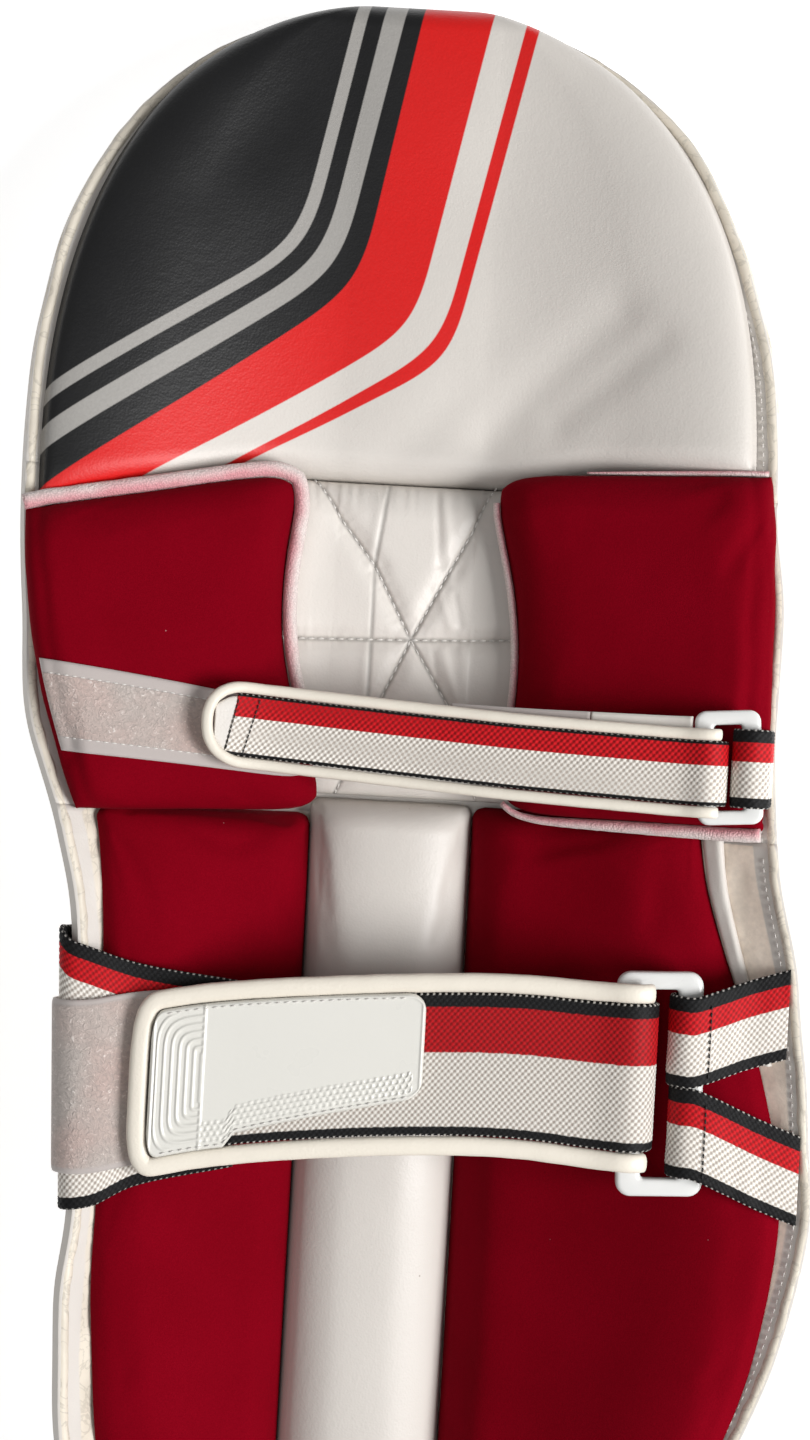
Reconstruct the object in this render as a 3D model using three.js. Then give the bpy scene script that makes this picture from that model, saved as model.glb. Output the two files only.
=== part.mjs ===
// Cricket batting pad for the right leg, lying on its front with the leg side up.
// Millimetres, +Z up. Y runs from the foot to the top hat, and X from the inner to the outer side of the leg.
// The origin is on the resting plane, in the middle of the pad's plan.
import * as THREE from "three";

// Driving sizes of the whole pad
const PAD_LENGTH = 696;
const TOP_Y = PAD_LENGTH / 2;
const FOOT_Y = -PAD_LENGTH / 2;
const KNEE_TOP_Y = 147;
const KNEE_FOOT_Y = 15;
const INSTEP_Y = -294;
const AXIS_X = -7.78;

// Clearance between a piece and the one that it lies on or is sewn to
const SEAT = 0.7;

// Shell wall, and the stuffed ribs and rolls in front of it
const WALL = 9;
const RIM_WALL = 3.5;
const FRONT_DEPTH = 12.3;
const INNER_Z = FRONT_DEPTH + SEAT + WALL;
const FLAT_HALF = 28;
const SHELL_COLUMNS = 18;
const FLOOR_COLUMNS = 2;
const BOWL_POWER = 1.6;
const RIM_POWER = 6;
const INSTEP = { arch: 20, depth: 15, power: 3 };
const ROLL = { reach: 0.86, round: 0.42, endRound: 0.12 };
const RIB = { count: 7, pitch: 26, round: 0.36, endRound: 0.06, endGap: 2 };
const STUFFING = { seam: 0.3, crest: 1.05 };

// Reach of the trough to each rim and the rims' heights, a row for each station from the foot up
const TROUGH = [
  { y: -348, left: 92, right: 98, leftRim: 60, rightRim: 60 },
  { y: -290, left: 104, right: 116, leftRim: 70, rightRim: 74 },
  { y: -230, left: 114, right: 139, leftRim: 80, rightRim: 86 },
  { y: -180, left: 116, right: 157, leftRim: 84, rightRim: 91 },
  { y: -130, left: 113.8, right: 167, leftRim: 84, rightRim: 92 },
  { y: -80, left: 116, right: 164, leftRim: 84, rightRim: 92 },
  { y: -35, left: 117, right: 158, leftRim: 84, rightRim: 90 },
  { y: 5, left: 125, right: 149, leftRim: 82, rightRim: 85 },
  { y: 45, left: 139, right: 147, leftRim: 80, rightRim: 81 },
  { y: 100, left: 146, right: 147, leftRim: 78, rightRim: 78 },
  { y: 150, left: 149.8, right: 144, leftRim: 72, rightRim: 72 },
  { y: 348, left: 149.8, right: 144, leftRim: 66, rightRim: 66 },
];

// Roundness of the top hat's outline on each side
const TOP_HAT_ROUND = { left: 2.42, right: 2.17 };
const TOP_HAT_TIP = 0.997;

// Cushions on the leg side
const PANEL = { thick: 17, edge: 4, round: 0.14, endRound: 0.06 };
const PANEL_PLACE = { insetLeft: 5.5, insetRight: 8.2, topInset: 0.35, topGap: 1, footY: 152 };
const PANEL_RISE = { from: 45, to: 85, by: 6.2 };
const LOCATOR = { half: 66, thick: 17, edge: 5, round: 0.12, footY: 22.6, groove: 8, grooveWide: 6 };
const BOLSTER = { footY: -326, thick: 22, edge: 4, round: 12, innerX: 34.2 };
const BOLSTER_TOP = { left: 12.6, right: 20.5 };
const BOLSTER_SIDE = { round: 0.3, outerTaper: 0.3 };
const CENTRE_BOLSTER = { half: 33.4, topY: 21, thick: 24, edge: 5, round: 12 };
const BACKING = { footWide: 3.5, topWide: 7, thick: 2.4, footY: -70, topY: 15.5 };

// Quilting lines of the knee cushion: the two lines of a cross, and one across it
const LOCATOR_SEAMS = [
  { fromX: -40, fromY: 148, toX: 27, toY: 25 },
  { fromX: 44, fromY: 150, toX: -20, toY: 25 },
  { fromX: -66, fromY: 86, toX: 66, toY: 88 },
];

// Strips of shell lining left bare beside the red cushions, a row for each station
const LINING = [
  { y: -348, left: 10, right: 4 },
  { y: -210, left: 11, right: 4 },
  { y: -150, left: 8, right: 8 },
  { y: -100, left: 7, right: 11 },
  { y: -60, left: 7.5, right: 17 },
  { y: -30, left: 8, right: 23 },
  { y: 15, left: 12, right: 25 },
];

// Knee wings: corners in plan, how far the edges bow towards the inner side of the leg,
// and the height of the inner edge's underside
const WING = { thick: 17, edge: 5, round: 0.16, endRound: 0.14, innerZ: 43.8, seat: 1.1 };
const WING_CORNER = { round: 0.15, power: 8 };
const WING_LEFT = {
  outerTop: [-147, 128], outerFoot: [-121, 13.5], outerBow: 5,
  innerTop: [-41.5, 152.5], innerFoot: [-24, 17], innerBow: 14.5,
};
const WING_RIGHT = {
  outerTop: [140, 157], outerFoot: [141.8, 20], outerBow: 0,
  innerTop: [31.5, 154.5], innerFoot: [41, 20], innerBow: -11,
};
const WING_TAPE = { halfWide: 2.4, halfHigh: 3.4, lift: 3.6, seat: 0.65, cornerReach: 1.2 };

// Knee strap: centre line from the free end to the ring, then the fold and the return
const KNEE_STRAP = { half: 12, thick: 2.4, binding: 2.2, bindingHigh: 2.2 };
const KNEE_STRAP_ENDS = { round: 16, power: 0.85, overRing: 3.5 };
const KNEE_STRAP_LINE = [
  { x: -72.3, y: 50.2, z: 82.5 },
  { x: -50, y: 48.6, z: 76.5 },
  { x: 0, y: 45.5, z: 79.5 },
  { x: 45, y: 43, z: 87.5 },
  { x: 80, y: 41.8, z: 94.5 },
  { x: 108, y: 41, z: 100.5 },
];
const KNEE_STRAP_BACK = { x: 106, y: 41.2, z: 96 };
const KNEE_RING = {
  x: 126.2, y: 43.5, z: 98, wide: 24.6, high: 43, bar: 7, endBar: 5.4, thick: 5, tilt: 0.07, turn: 0.08,
};
const KNEE_ANCHOR = { half: 14.6, thick: 1.8, y: 43.5, rimInset: 2.4 };
const KNEE_ANCHOR_DROP = [
  { inset: 7.2, z: 103.4 },
  { inset: 5.6, z: 96.5 },
  { inset: 3.4, z: 88.5 },
];

// Calf strap, its ring and the webbing at both rims
const CALF_STRAP = { half: 27.5, thick: 3, binding: 3.7, bindingHigh: 2.6 };
const CALF_STRAP_ENDS = { round: 11, power: 0.5, overRing: 6.5 };
const CALF_STRAP_LINE = [
  { x: -90, y: -90, z: 89.6 },
  { x: -62, y: -84.4, z: 87.6 },
  { x: 0, y: -77.4, z: 86.8 },
  { x: 50, y: -74.5, z: 88.8 },
  { x: 82, y: -75.6, z: 92 },
];
const CALF_STRAP_BACK = { x: 76, y: -75.6, z: 85.6 };
const CALF_RING = {
  x: 108.2, y: -78.5, z: 86.6, wide: 33, high: 85.6, bar: 9.4, endBar: 6.8, thick: 5.6, tilt: 0, turn: 0.045,
};
const CALF_ANCHOR = { half: 17, thick: 1.8, reach: 3.6, dip: 13, dipLift: 12, dipShare: 0.62, seat: 1.2 };
const CALF_ANCHOR_UPPER = { ringY: -61.2, rimY: -49 };
const CALF_ANCHOR_LOWER = { ringY: -95.8, rimY: -112 };
const CALF_BAND = { half: 17.5, thick: 1.8 };
const CALF_BAND_UPPER = { rimY: -49, innerY: -66.5, bend: 0.45 };
const CALF_BAND_LOWER = { rimY: -122, innerY: -103, bend: 1 };
const CALF_LOOP = {
  half: 33, thick: 1.8, rimY: -92, innerY: -84, bend: 1, gap: 0.9, start: 0.2, end: 0.985,
};

// Route of the bands from under the inner rim, round it, and in to the strap.
// Share is the place between the rim's y and the inner end's, raised to the power of the band's bend.
// Out and up are the parts of a lift that move a layer lying over the bands.
const BAND_LEAN = -0.05;
const BAND_UNDER = [
  { inset: 16, lift: 3.1 },
  { inset: 3, lift: 4 },
];
const BAND_ROUND_RIM = [
  { inset: -5, share: 0, z: 83.5, out: 0.9, up: 0.3 },
  { inset: -0.8, share: 0.04, z: 87.8, out: 0, up: 0.9 },
  { inset: 8, share: 0.14, z: 87.4, out: 0, up: 1 },
];
const BAND_INNER = [
  { x: -92, share: 0.5, z: 82.6 },
  { x: -54, share: 1, z: 80.6 },
];

// Corners of the rings as shares of the end bars' width
const RING_ROUND = { outer: 0.8, inner: 0.25, segments: 3 };

// Grid steps of the pieces: columns across and rows along, and sides or steps of rolls and bands
const GRID = {
  roll: [14, 6],
  rib: [6, 6],
  panel: [14, 10],
  locator: [14, 12],
  centreBolster: [6, 12],
  sideBolster: [8, 12],
  backing: [1, 6],
  wing: [9, 9],
  tab: [2, 4],
  tail: [1, 6],
  loopTape: [2, 14],
  patch: [4, 14],
};
const SHELL_ROWS = { topHat: 8, knee: 5, shin: 11, instep: 3 };
const STRAP_STEPS = { run: 14, fold: 8, back: 3, turn: 6, anchor: 16, band: 20, loop: 18 };
const BINDING_STEPS = { run: 9, end: 8, sides: 6 };
const TAPE_SIDES = 8;
const CROWDING = 2.6;

// Colours and roughness of the finishes
const FINISH = {
  whiteLeather: { color: 0xdedad6, roughness: 0.42 },
  creamLeather: { color: 0xe8dfd0, roughness: 0.5 },
  redFabric: { color: 0x8a0716, roughness: 0.9 },
  paleTape: { color: 0xe6b9bb, roughness: 0.9 },
  webbing: { color: 0xc8202c, roughness: 0.7 },
  loopTape: { color: 0xdcd3cc, roughness: 0.95 },
  ring: { color: 0xeceae8, roughness: 0.35 },
};

// Values of a table at a place along the pad, on a smooth curve through its rows
function follow(rows) {
  const keys = Object.keys(rows[0]).filter((key) => key !== "y");
  const places = rows.map((row) => row.y);
  const values = rows.flatMap((row) => keys.map((key) => row[key]));
  const curve = new THREE.CubicInterpolant(places, values, keys.length, new Float64Array(keys.length));
  return (y) => {
    const sample = curve.evaluate(y);
    return Object.fromEntries(keys.map((key, index) => [key, sample[index]]));
  };
}

const troughAt = follow(TROUGH);
const liningAt = follow(LINING);

// Height of the shell's inner face
function trough(x, y) {
  const station = troughAt(y);
  const reach = x < 0 ? station.left : station.right;
  const rim = x < 0 ? station.leftRim : station.rightRim;
  const share = Math.max(0, (Math.abs(x) - FLAT_HALF) / (reach - FLAT_HALF));
  return INNER_Z + (rim - INNER_Z) * share ** BOWL_POWER;
}

// A point above the shell's inner face, or below it for a negative lift
function onTrough(x, y, lift) {
  const step = 0.5;
  const slopeX = (trough(x + step, y) - trough(x - step, y)) / (2 * step);
  const slopeY = (trough(x, y + step) - trough(x, y - step)) / (2 * step);
  const normal = new THREE.Vector3(-slopeX, -slopeY, 1).normalize();
  return new THREE.Vector3(x, y, trough(x, y)).addScaledVector(normal, lift);
}

// Thickness that falls from its full value in the middle to the rim's, between the given reaches
function thinned(full, power, x, reaches) {
  const share = Math.min(1, Math.abs(x) / (x < 0 ? reaches.left : reaches.right));
  return full - (full - RIM_WALL) * share ** power;
}

function wall(x, y) {
  return thinned(WALL, RIM_POWER, x, troughAt(y));
}

function onOuterFace(x, y, lift) {
  return onTrough(x, y, -wall(x, y) - lift);
}

// Half widths of the top hat at a height up the pad
function topHatHalves(y) {
  const share = Math.max(0, (y - KNEE_TOP_Y) / (TOP_Y - KNEE_TOP_Y));
  const station = troughAt(y);
  const half = (reach, round) => reach * (1 - share ** round) ** (1 / round);
  return { left: half(station.left, TOP_HAT_ROUND.left), right: half(station.right, TOP_HAT_ROUND.right) };
}

// Place across the trough: the flat floor takes the middle columns, and the sides take the rest
function acrossTrough(s, halves) {
  const side = (SHELL_COLUMNS - FLOOR_COLUMNS) / 2 / SHELL_COLUMNS;
  const floor = (half) => Math.min(FLAT_HALF, half / 2);
  const [left, right] = [floor(halves.left), floor(halves.right)];
  if (s < side) {
    return THREE.MathUtils.lerp(-halves.left, -left, s / side);
  }
  if (s > 1 - side) {
    return THREE.MathUtils.lerp(halves.right, right, (1 - s) / side);
  }
  return THREE.MathUtils.lerp(-left, right, (s - side) / (1 - 2 * side));
}

// Rows that crowd together towards the round top
function topHatY(t) {
  return KNEE_TOP_Y + (TOP_Y - KNEE_TOP_Y) * TOP_HAT_TIP * Math.sin((t * Math.PI) / 2);
}

// Plump profile from a seam at 0 to a seam at 1, full height between them
function plump(share, round) {
  const edge = Math.min(share, 1 - share) / round;
  return edge >= 1 ? 1 : Math.sqrt(1 - (1 - edge) ** 2);
}

// Spacing that crowds a grid's lines towards both seams
function crowd(share) {
  return share - Math.sin(2 * Math.PI * share) / (CROWDING * Math.PI);
}

// A closed body from points and triangles, with its faces turned outwards
function body(points, faces) {
  const turned = new THREE.Vector3();
  const volume = faces.reduce((sum, [a, b, c]) => {
    return sum + points[a].dot(turned.crossVectors(points[b], points[c]));
  }, 0);
  const outward = volume < 0 ? faces.map(([a, b, c]) => [a, c, b]) : faces;
  const geometry = new THREE.BufferGeometry().setFromPoints(points);
  geometry.setIndex(outward.flat());
  geometry.computeVertexNormals();
  return geometry;
}

// A body between a lower and an upper skin, both given over the unit square
function slab(columns, rows, lower, upper) {
  const points = [];
  for (const skin of [lower, upper]) {
    for (let row = 0; row <= rows; row += 1) {
      for (let column = 0; column <= columns; column += 1) {
        points.push(skin(column / columns, row / rows));
      }
    }
  }
  const layer = (columns + 1) * (rows + 1);
  const at = (column, row) => row * (columns + 1) + column;
  const faces = [];
  const quad = (a, b, c, d) => faces.push([a, b, c], [a, c, d]);
  for (let row = 0; row < rows; row += 1) {
    for (let column = 0; column < columns; column += 1) {
      const corners = [at(column, row), at(column + 1, row), at(column + 1, row + 1), at(column, row + 1)];
      const [a, b, c, d] = corners;
      quad(a + layer, b + layer, c + layer, d + layer);
      quad(d, c, b, a);
    }
  }
  const wallBetween = (a, b) => quad(a, b, b + layer, a + layer);
  for (let column = 0; column < columns; column += 1) {
    wallBetween(at(column, 0), at(column + 1, 0));
    wallBetween(at(column + 1, rows), at(column, rows));
  }
  for (let row = 0; row < rows; row += 1) {
    wallBetween(at(0, row + 1), at(0, row));
    wallBetween(at(columns, row), at(columns, row + 1));
  }
  return body(points, faces);
}

// A round-sided roll along stations, each with a centre and the section's two half axes
function roll(stations, sides) {
  const points = [];
  for (const { centre, across, up } of stations) {
    for (let side = 0; side < sides; side += 1) {
      const angle = ((side + 0.5) / sides) * 2 * Math.PI;
      const rim = centre.clone().addScaledVector(across, Math.cos(angle));
      points.push(rim.addScaledVector(up, Math.sin(angle)));
    }
  }
  const faces = [];
  for (let ring = 0; ring + 1 < stations.length; ring += 1) {
    for (let side = 0; side < sides; side += 1) {
      const next = (side + 1) % sides;
      const [a, b] = [ring * sides + side, ring * sides + next];
      faces.push([a, b, b + sides], [a, b + sides, a + sides]);
    }
  }
  const last = (stations.length - 1) * sides;
  for (let side = 1; side + 1 < sides; side += 1) {
    faces.push([0, side + 1, side], [last, last + side, last + side + 1]);
  }
  return body(points, faces);
}

// A flat ribbon's frame at a share of its length: centre, direction across and direction up
function ribbonFrame(line, across) {
  const curve = new THREE.CatmullRomCurve3(line, false, "centripetal");
  return (share) => {
    const centre = curve.getPointAt(share);
    const along = curve.getTangentAt(share);
    const up = new THREE.Vector3().crossVectors(along, across).normalize();
    return { centre, across, up };
  };
}

// A point on a ribbon: along it, across it in millimetres, and lifted off its middle
function onRibbon(frame, share, across, lift) {
  const place = frame(share);
  return place.centre.clone().addScaledVector(place.across, across).addScaledVector(place.up, lift);
}

// A strip of a ribbon with a station at each of the given shares of its length
function ribbon(frame, half, thick, shares) {
  const steps = shares.length - 1;
  const skin = (lift) => (s, t) => onRibbon(frame, shares[Math.round(t * steps)], (2 * s - 1) * half, lift);
  return slab(1, steps, skin(-thick / 2), skin(thick / 2));
}

// Shares from one place to another, in even steps
function spread(start, end, steps) {
  return Array.from({ length: steps + 1 }, (_, step) => THREE.MathUtils.lerp(start, end, step / steps));
}

function lengthOf(line) {
  return new THREE.CatmullRomCurve3(line, false, "centripetal").getLength();
}

// Points of a half turn round a ring's bar, from over it to under it
function halfTurn(centre, radius, towards) {
  return spread(Math.PI / 2, -Math.PI / 2, STRAP_STEPS.turn).map((angle) => {
    const turn = new THREE.Vector3(towards * Math.cos(angle), 0, Math.sin(angle));
    return centre.clone().addScaledVector(turn, radius);
  });
}

function piece(name, geometry, finish) {
  const mesh = new THREE.Mesh(geometry, new THREE.MeshStandardMaterial({ metalness: 0, ...finish }));
  mesh.name = name;
  return mesh;
}

// Front shell: top hat, knee and shin plates with the instep below them
function makeShell() {
  const shell = new THREE.Group();
  const plate = (rows, plan, thickness) => {
    const inner = (s, t) => onTrough(...plan(s, t), 0);
    const outer = (s, t) => {
      const [x, y] = plan(s, t);
      return onTrough(x, y, -thickness(x, y));
    };
    return slab(SHELL_COLUMNS, rows, outer, inner);
  };
  const between = (low, high) => (s, t) => {
    const y = THREE.MathUtils.lerp(low, high, t);
    return [acrossTrough(s, troughAt(y)), y];
  };
  const topHatPlan = (s, t) => {
    const y = topHatY(t);
    return [acrossTrough(s, topHatHalves(y)), y];
  };
  const topHatWall = (x, y) => thinned(WALL, RIM_POWER, x, topHatHalves(y));
  const instepWall = (x, y) => thinned(INSTEP.depth, INSTEP.power, x, troughAt(y));
  const instepPlan = (s, t) => {
    const low = FOOT_Y + INSTEP.arch * (1 - (2 * s - 1) ** 2);
    const y = THREE.MathUtils.lerp(low, INSTEP_Y - SEAT, t);
    return [acrossTrough(s, troughAt(y)), y];
  };
  const kneePlan = between(KNEE_FOOT_Y + SEAT / 2, KNEE_TOP_Y - SEAT / 2);
  const shinPlan = between(INSTEP_Y, KNEE_FOOT_Y - SEAT / 2);
  shell.add(
    piece("top_hat_shell", plate(SHELL_ROWS.topHat, topHatPlan, topHatWall), FINISH.whiteLeather),
    piece("knee_shell", plate(SHELL_ROWS.knee, kneePlan, wall), FINISH.whiteLeather),
    piece("shin_shell", plate(SHELL_ROWS.shin, shinPlan, wall), FINISH.whiteLeather),
    piece("instep_shell", plate(SHELL_ROWS.instep, instepPlan, instepWall), FINISH.whiteLeather),
  );
  return shell;
}

// Stuffed rolls across the knee and ribs down the shin, with crests flattened on the resting plane
function makeFront() {
  const front = new THREE.Group();
  const stuffed = (grid, plan, rise) => {
    const swell = (s, t) => THREE.MathUtils.lerp(STUFFING.seam, STUFFING.crest, rise(s, t));
    const back = (s, t) => onOuterFace(...plan(s, t), SEAT);
    const crest = (s, t) => {
      const point = onOuterFace(...plan(s, t), SEAT + FRONT_DEPTH * swell(s, t));
      point.z = Math.max(0, point.z);
      return point;
    };
    return slab(...grid, crest, back);
  };
  const rollNames = ["lower", "middle", "upper"];
  const rollPitch = (KNEE_TOP_Y - KNEE_FOOT_Y) / rollNames.length;
  rollNames.forEach((name, index) => {
    const low = KNEE_FOOT_Y + index * rollPitch;
    const plan = (s, t) => {
      const y = low + SEAT + t * (rollPitch - 2 * SEAT);
      const station = troughAt(y);
      return [ROLL.reach * THREE.MathUtils.lerp(-station.left, station.right, s), y];
    };
    const rise = (s, t) => plump(t, ROLL.round) * plump(s, ROLL.endRound);
    front.add(piece(`knee_roll_${name}`, stuffed(GRID.roll, plan, rise), FINISH.whiteLeather));
  });
  for (let index = 0; index < RIB.count; index += 1) {
    const middle = (index - (RIB.count - 1) / 2) * RIB.pitch;
    const plan = (s, t) => [
      middle + (s - 0.5) * (RIB.pitch - 2 * SEAT),
      THREE.MathUtils.lerp(INSTEP_Y + RIB.endGap, KNEE_FOOT_Y - RIB.endGap, t),
    ];
    const rise = (s, t) => plump(s, RIB.round) * plump(t, RIB.endRound);
    front.add(piece(`shin_rib_${index + 1}`, stuffed(GRID.rib, plan, rise), FINISH.whiteLeather));
  }
  return front;
}

// Lower edge of the top hat's panel, which the knee cushion meets and which clears the outer wing
function panelFoot(x) {
  return PANEL_PLACE.footY + PANEL_RISE.by * THREE.MathUtils.smoothstep(x, PANEL_RISE.from, PANEL_RISE.to);
}

// Padded panel inside the top hat and the quilted cushion in the knee hollow
function makeHollowPads() {
  const pads = new THREE.Group();
  const cushion = (grid, plan, thickness) => {
    const bed = (s, t) => onTrough(...plan(s, t), SEAT);
    const top = (s, t) => onTrough(...plan(s, t), SEAT + thickness(s, t));
    return slab(...grid, bed, top);
  };
  const panelPlan = (s, t) => {
    const y = topHatY(t) - PANEL_PLACE.topGap;
    const halves = topHatHalves(y);
    const narrowing = THREE.MathUtils.lerp(1, PANEL_PLACE.topInset, t);
    const left = halves.left - PANEL_PLACE.insetLeft * narrowing;
    const right = halves.right - PANEL_PLACE.insetRight * narrowing;
    const x = THREE.MathUtils.lerp(-left, right, crowd(s));
    return [x, y + (panelFoot(x) - KNEE_TOP_Y) * (1 - t) ** 2];
  };
  const panelThick = (s, t) => {
    const swell = plump(crowd(s), PANEL.round) * plump(Math.sin((t * Math.PI) / 2), PANEL.endRound);
    return PANEL.edge + (PANEL.thick - PANEL.edge) * swell;
  };
  const seams = LOCATOR_SEAMS.map(({ fromX, fromY, toX, toY }) => {
    return new THREE.Line3(new THREE.Vector3(fromX, fromY, 0), new THREE.Vector3(toX, toY, 0));
  });
  const locatorPlan = (s, t) => {
    const x = THREE.MathUtils.lerp(-LOCATOR.half, LOCATOR.half, s);
    return [x, THREE.MathUtils.lerp(LOCATOR.footY, panelFoot(x) - 2 * SEAT, t)];
  };
  const locatorThick = (s, t) => {
    const [x, y] = locatorPlan(s, t);
    const place = new THREE.Vector3(x, y, 0);
    const nearest = new THREE.Vector3();
    const gaps = seams.map((line) => line.closestPointToPoint(place, true, nearest).distanceTo(place));
    const sunk = Math.exp(-((Math.min(...gaps) / LOCATOR.grooveWide) ** 2));
    const swell = plump(s, LOCATOR.round) * plump(t, LOCATOR.round);
    return LOCATOR.edge + (LOCATOR.thick - LOCATOR.edge) * swell - LOCATOR.groove * sunk * swell;
  };
  pads.add(
    piece("top_hat_panel", cushion(GRID.panel, panelPlan, panelThick), FINISH.whiteLeather),
    piece("knee_locator", cushion(GRID.locator, locatorPlan, locatorThick), FINISH.whiteLeather),
  );
  return pads;
}

// Long cushions down the shin, and the pale backing that shows beside the outer one
function makeBolsters() {
  const bolsters = new THREE.Group();
  const rise = (edge, thick, swell) => SEAT + edge + (thick - edge) * swell;
  const long = (grid, span, sizes, taper) => {
    const length = sizes.topY - BOLSTER.footY;
    const plan = (s, t) => {
      const y = BOLSTER.footY + crowd(t) * length;
      const [left, right] = span(y);
      return [THREE.MathUtils.lerp(left, right, crowd(s)), y];
    };
    const bed = (s, t) => onTrough(...plan(s, t), SEAT);
    const top = (s, t) => {
      const swell = plump(crowd(s), BOLSTER_SIDE.round) * plump(crowd(t), sizes.round / length) * taper(s);
      return onTrough(...plan(s, t), rise(sizes.edge, sizes.thick, swell));
    };
    return slab(...grid, bed, top);
  };
  const leftSpan = (y) => [liningAt(y).left - troughAt(y).left, -BOLSTER.innerX];
  const rightSpan = (y) => [BOLSTER.innerX, troughAt(y).right - liningAt(y).right];
  const centreSpan = () => [-CENTRE_BOLSTER.half, CENTRE_BOLSTER.half];
  const leftTaper = (s) => 1 - BOLSTER_SIDE.outerTaper * (1 - s);
  const rightTaper = (s) => 1 - BOLSTER_SIDE.outerTaper * s;
  const backingPlan = (s, t) => {
    const y = THREE.MathUtils.lerp(BACKING.footY, BACKING.topY, t);
    const inner = rightSpan(y)[1] + SEAT;
    return [inner + s * THREE.MathUtils.lerp(BACKING.footWide, BACKING.topWide, t), y];
  };
  const backingBed = (s, t) => onTrough(...backingPlan(s, t), SEAT);
  const backingTop = (s, t) => onTrough(...backingPlan(s, t), SEAT + BACKING.thick);
  const side = (span, topY, taper) => long(GRID.sideBolster, span, { ...BOLSTER, topY }, taper);
  const centre = long(GRID.centreBolster, centreSpan, CENTRE_BOLSTER, () => 1);
  bolsters.add(
    piece("shin_bolster_centre", centre, FINISH.whiteLeather),
    piece("shin_bolster_left", side(leftSpan, BOLSTER_TOP.left, leftTaper), FINISH.redFabric),
    piece("shin_bolster_right", side(rightSpan, BOLSTER_TOP.right, rightTaper), FINISH.redFabric),
    piece("bolster_edge_right", slab(...GRID.backing, backingBed, backingTop), FINISH.whiteLeather),
  );
  return bolsters;
}

// Place on a wing's underside: s runs from the outer to the inner edge, and t from the foot up.
// The inner corners are rounded.
function wingUnder(corners, sEven, tEven) {
  const lerp = THREE.MathUtils.lerp;
  const [u, v] = [2 * sEven - 1, 2 * tEven - 1];
  const round = u > 0 ? WING_CORNER.round : 0;
  const s = 0.5 + 0.5 * u * Math.sqrt(1 - round * v ** WING_CORNER.power);
  const t = 0.5 + 0.5 * v * Math.sqrt(1 - round * u ** WING_CORNER.power);
  const outer = corners.outerFoot.map((value, axis) => lerp(value, corners.outerTop[axis], t));
  const inner = corners.innerFoot.map((value, axis) => lerp(value, corners.innerTop[axis], t));
  outer[0] -= corners.outerBow * Math.sin(Math.PI * t);
  inner[0] -= corners.innerBow * Math.sin(Math.PI * t);
  const outerZ = trough(...outer) + WING.seat;
  const plan = [lerp(outer[0], inner[0], s), lerp(outer[1], inner[1], s)];
  return new THREE.Vector3(...plan, lerp(outerZ, WING.innerZ, s));
}

function wingTop(corners, s, t) {
  const swell = plump(s, WING.round) * plump(t, WING.endRound);
  const point = wingUnder(corners, s, t);
  point.z += WING.edge + (WING.thick - WING.edge) * swell;
  return point;
}

// Red flaps beside the knee, with pale tape sewn round the edges that show
function makeWings() {
  const wings = new THREE.Group();
  const pad = (corners) => {
    const under = (s, t) => wingUnder(corners, crowd(s), crowd(t));
    const top = (s, t) => wingTop(corners, crowd(s), crowd(t));
    return slab(...GRID.wing, under, top);
  };
  const outwards = (corners, s, t) => {
    const inwards = 0.1;
    const onEnd = t === 0 || t === 1;
    const insideS = s === 1 ? 1 - inwards : s;
    const insideT = onEnd ? THREE.MathUtils.lerp(inwards, 1 - inwards, t) : t;
    const inside = wingUnder(corners, insideS, insideT);
    return wingUnder(corners, s, t).sub(inside).setZ(0).normalize();
  };
  const tape = (corners, route) => {
    const stations = route.map(([s, t]) => {
      const out = outwards(corners, s, t);
      const corner = s === 1 && (t === 0 || t === 1);
      const reach = (WING_TAPE.halfWide + WING_TAPE.seat) * (corner ? WING_TAPE.cornerReach : 1);
      const centre = wingUnder(corners, s, t).addScaledVector(out, reach);
      centre.z += WING_TAPE.lift;
      const up = new THREE.Vector3(0, 0, WING_TAPE.halfHigh);
      return { centre, across: out.multiplyScalar(WING_TAPE.halfWide), up };
    });
    return roll(stations, TAPE_SIDES);
  };
  const edgeShares = [0.05, 0.2, 0.4, 0.6, 0.8, 0.94];
  const topAndInner = [
    ...edgeShares.map((share) => [share, 1]),
    [1, 1],
    ...edgeShares.toReversed().map((share) => [1, share]),
  ];
  const innerAndFoot = topAndInner.map(([s, t]) => [s, 1 - t]);
  wings.add(
    piece("knee_wing_left", pad(WING_LEFT), FINISH.redFabric),
    piece("knee_wing_right", pad(WING_RIGHT), FINISH.redFabric),
    piece("wing_binding_left", tape(WING_LEFT, topAndInner), FINISH.paleTape),
    piece("wing_binding_right", tape(WING_RIGHT, innerAndFoot), FINISH.paleTape),
  );
  return wings;
}

const ACROSS = new THREE.Vector3(0, 1, 0);
const BAND_ACROSS = new THREE.Vector3(BAND_LEAN, 1, 0).normalize();

function toPoints(rows) {
  return rows.map((row) => new THREE.Vector3(row.x, row.y, row.z));
}

// Middle of a ring's bar on one side: -1 is towards the inner side of the leg, 1 towards the outer
function barMiddle(ring, side, y) {
  const reach = (side * (ring.wide - ring.bar)) / 2;
  return new THREE.Vector3(ring.x + reach - ring.turn * (y - ring.y), y, ring.z + reach * ring.tilt);
}

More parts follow.
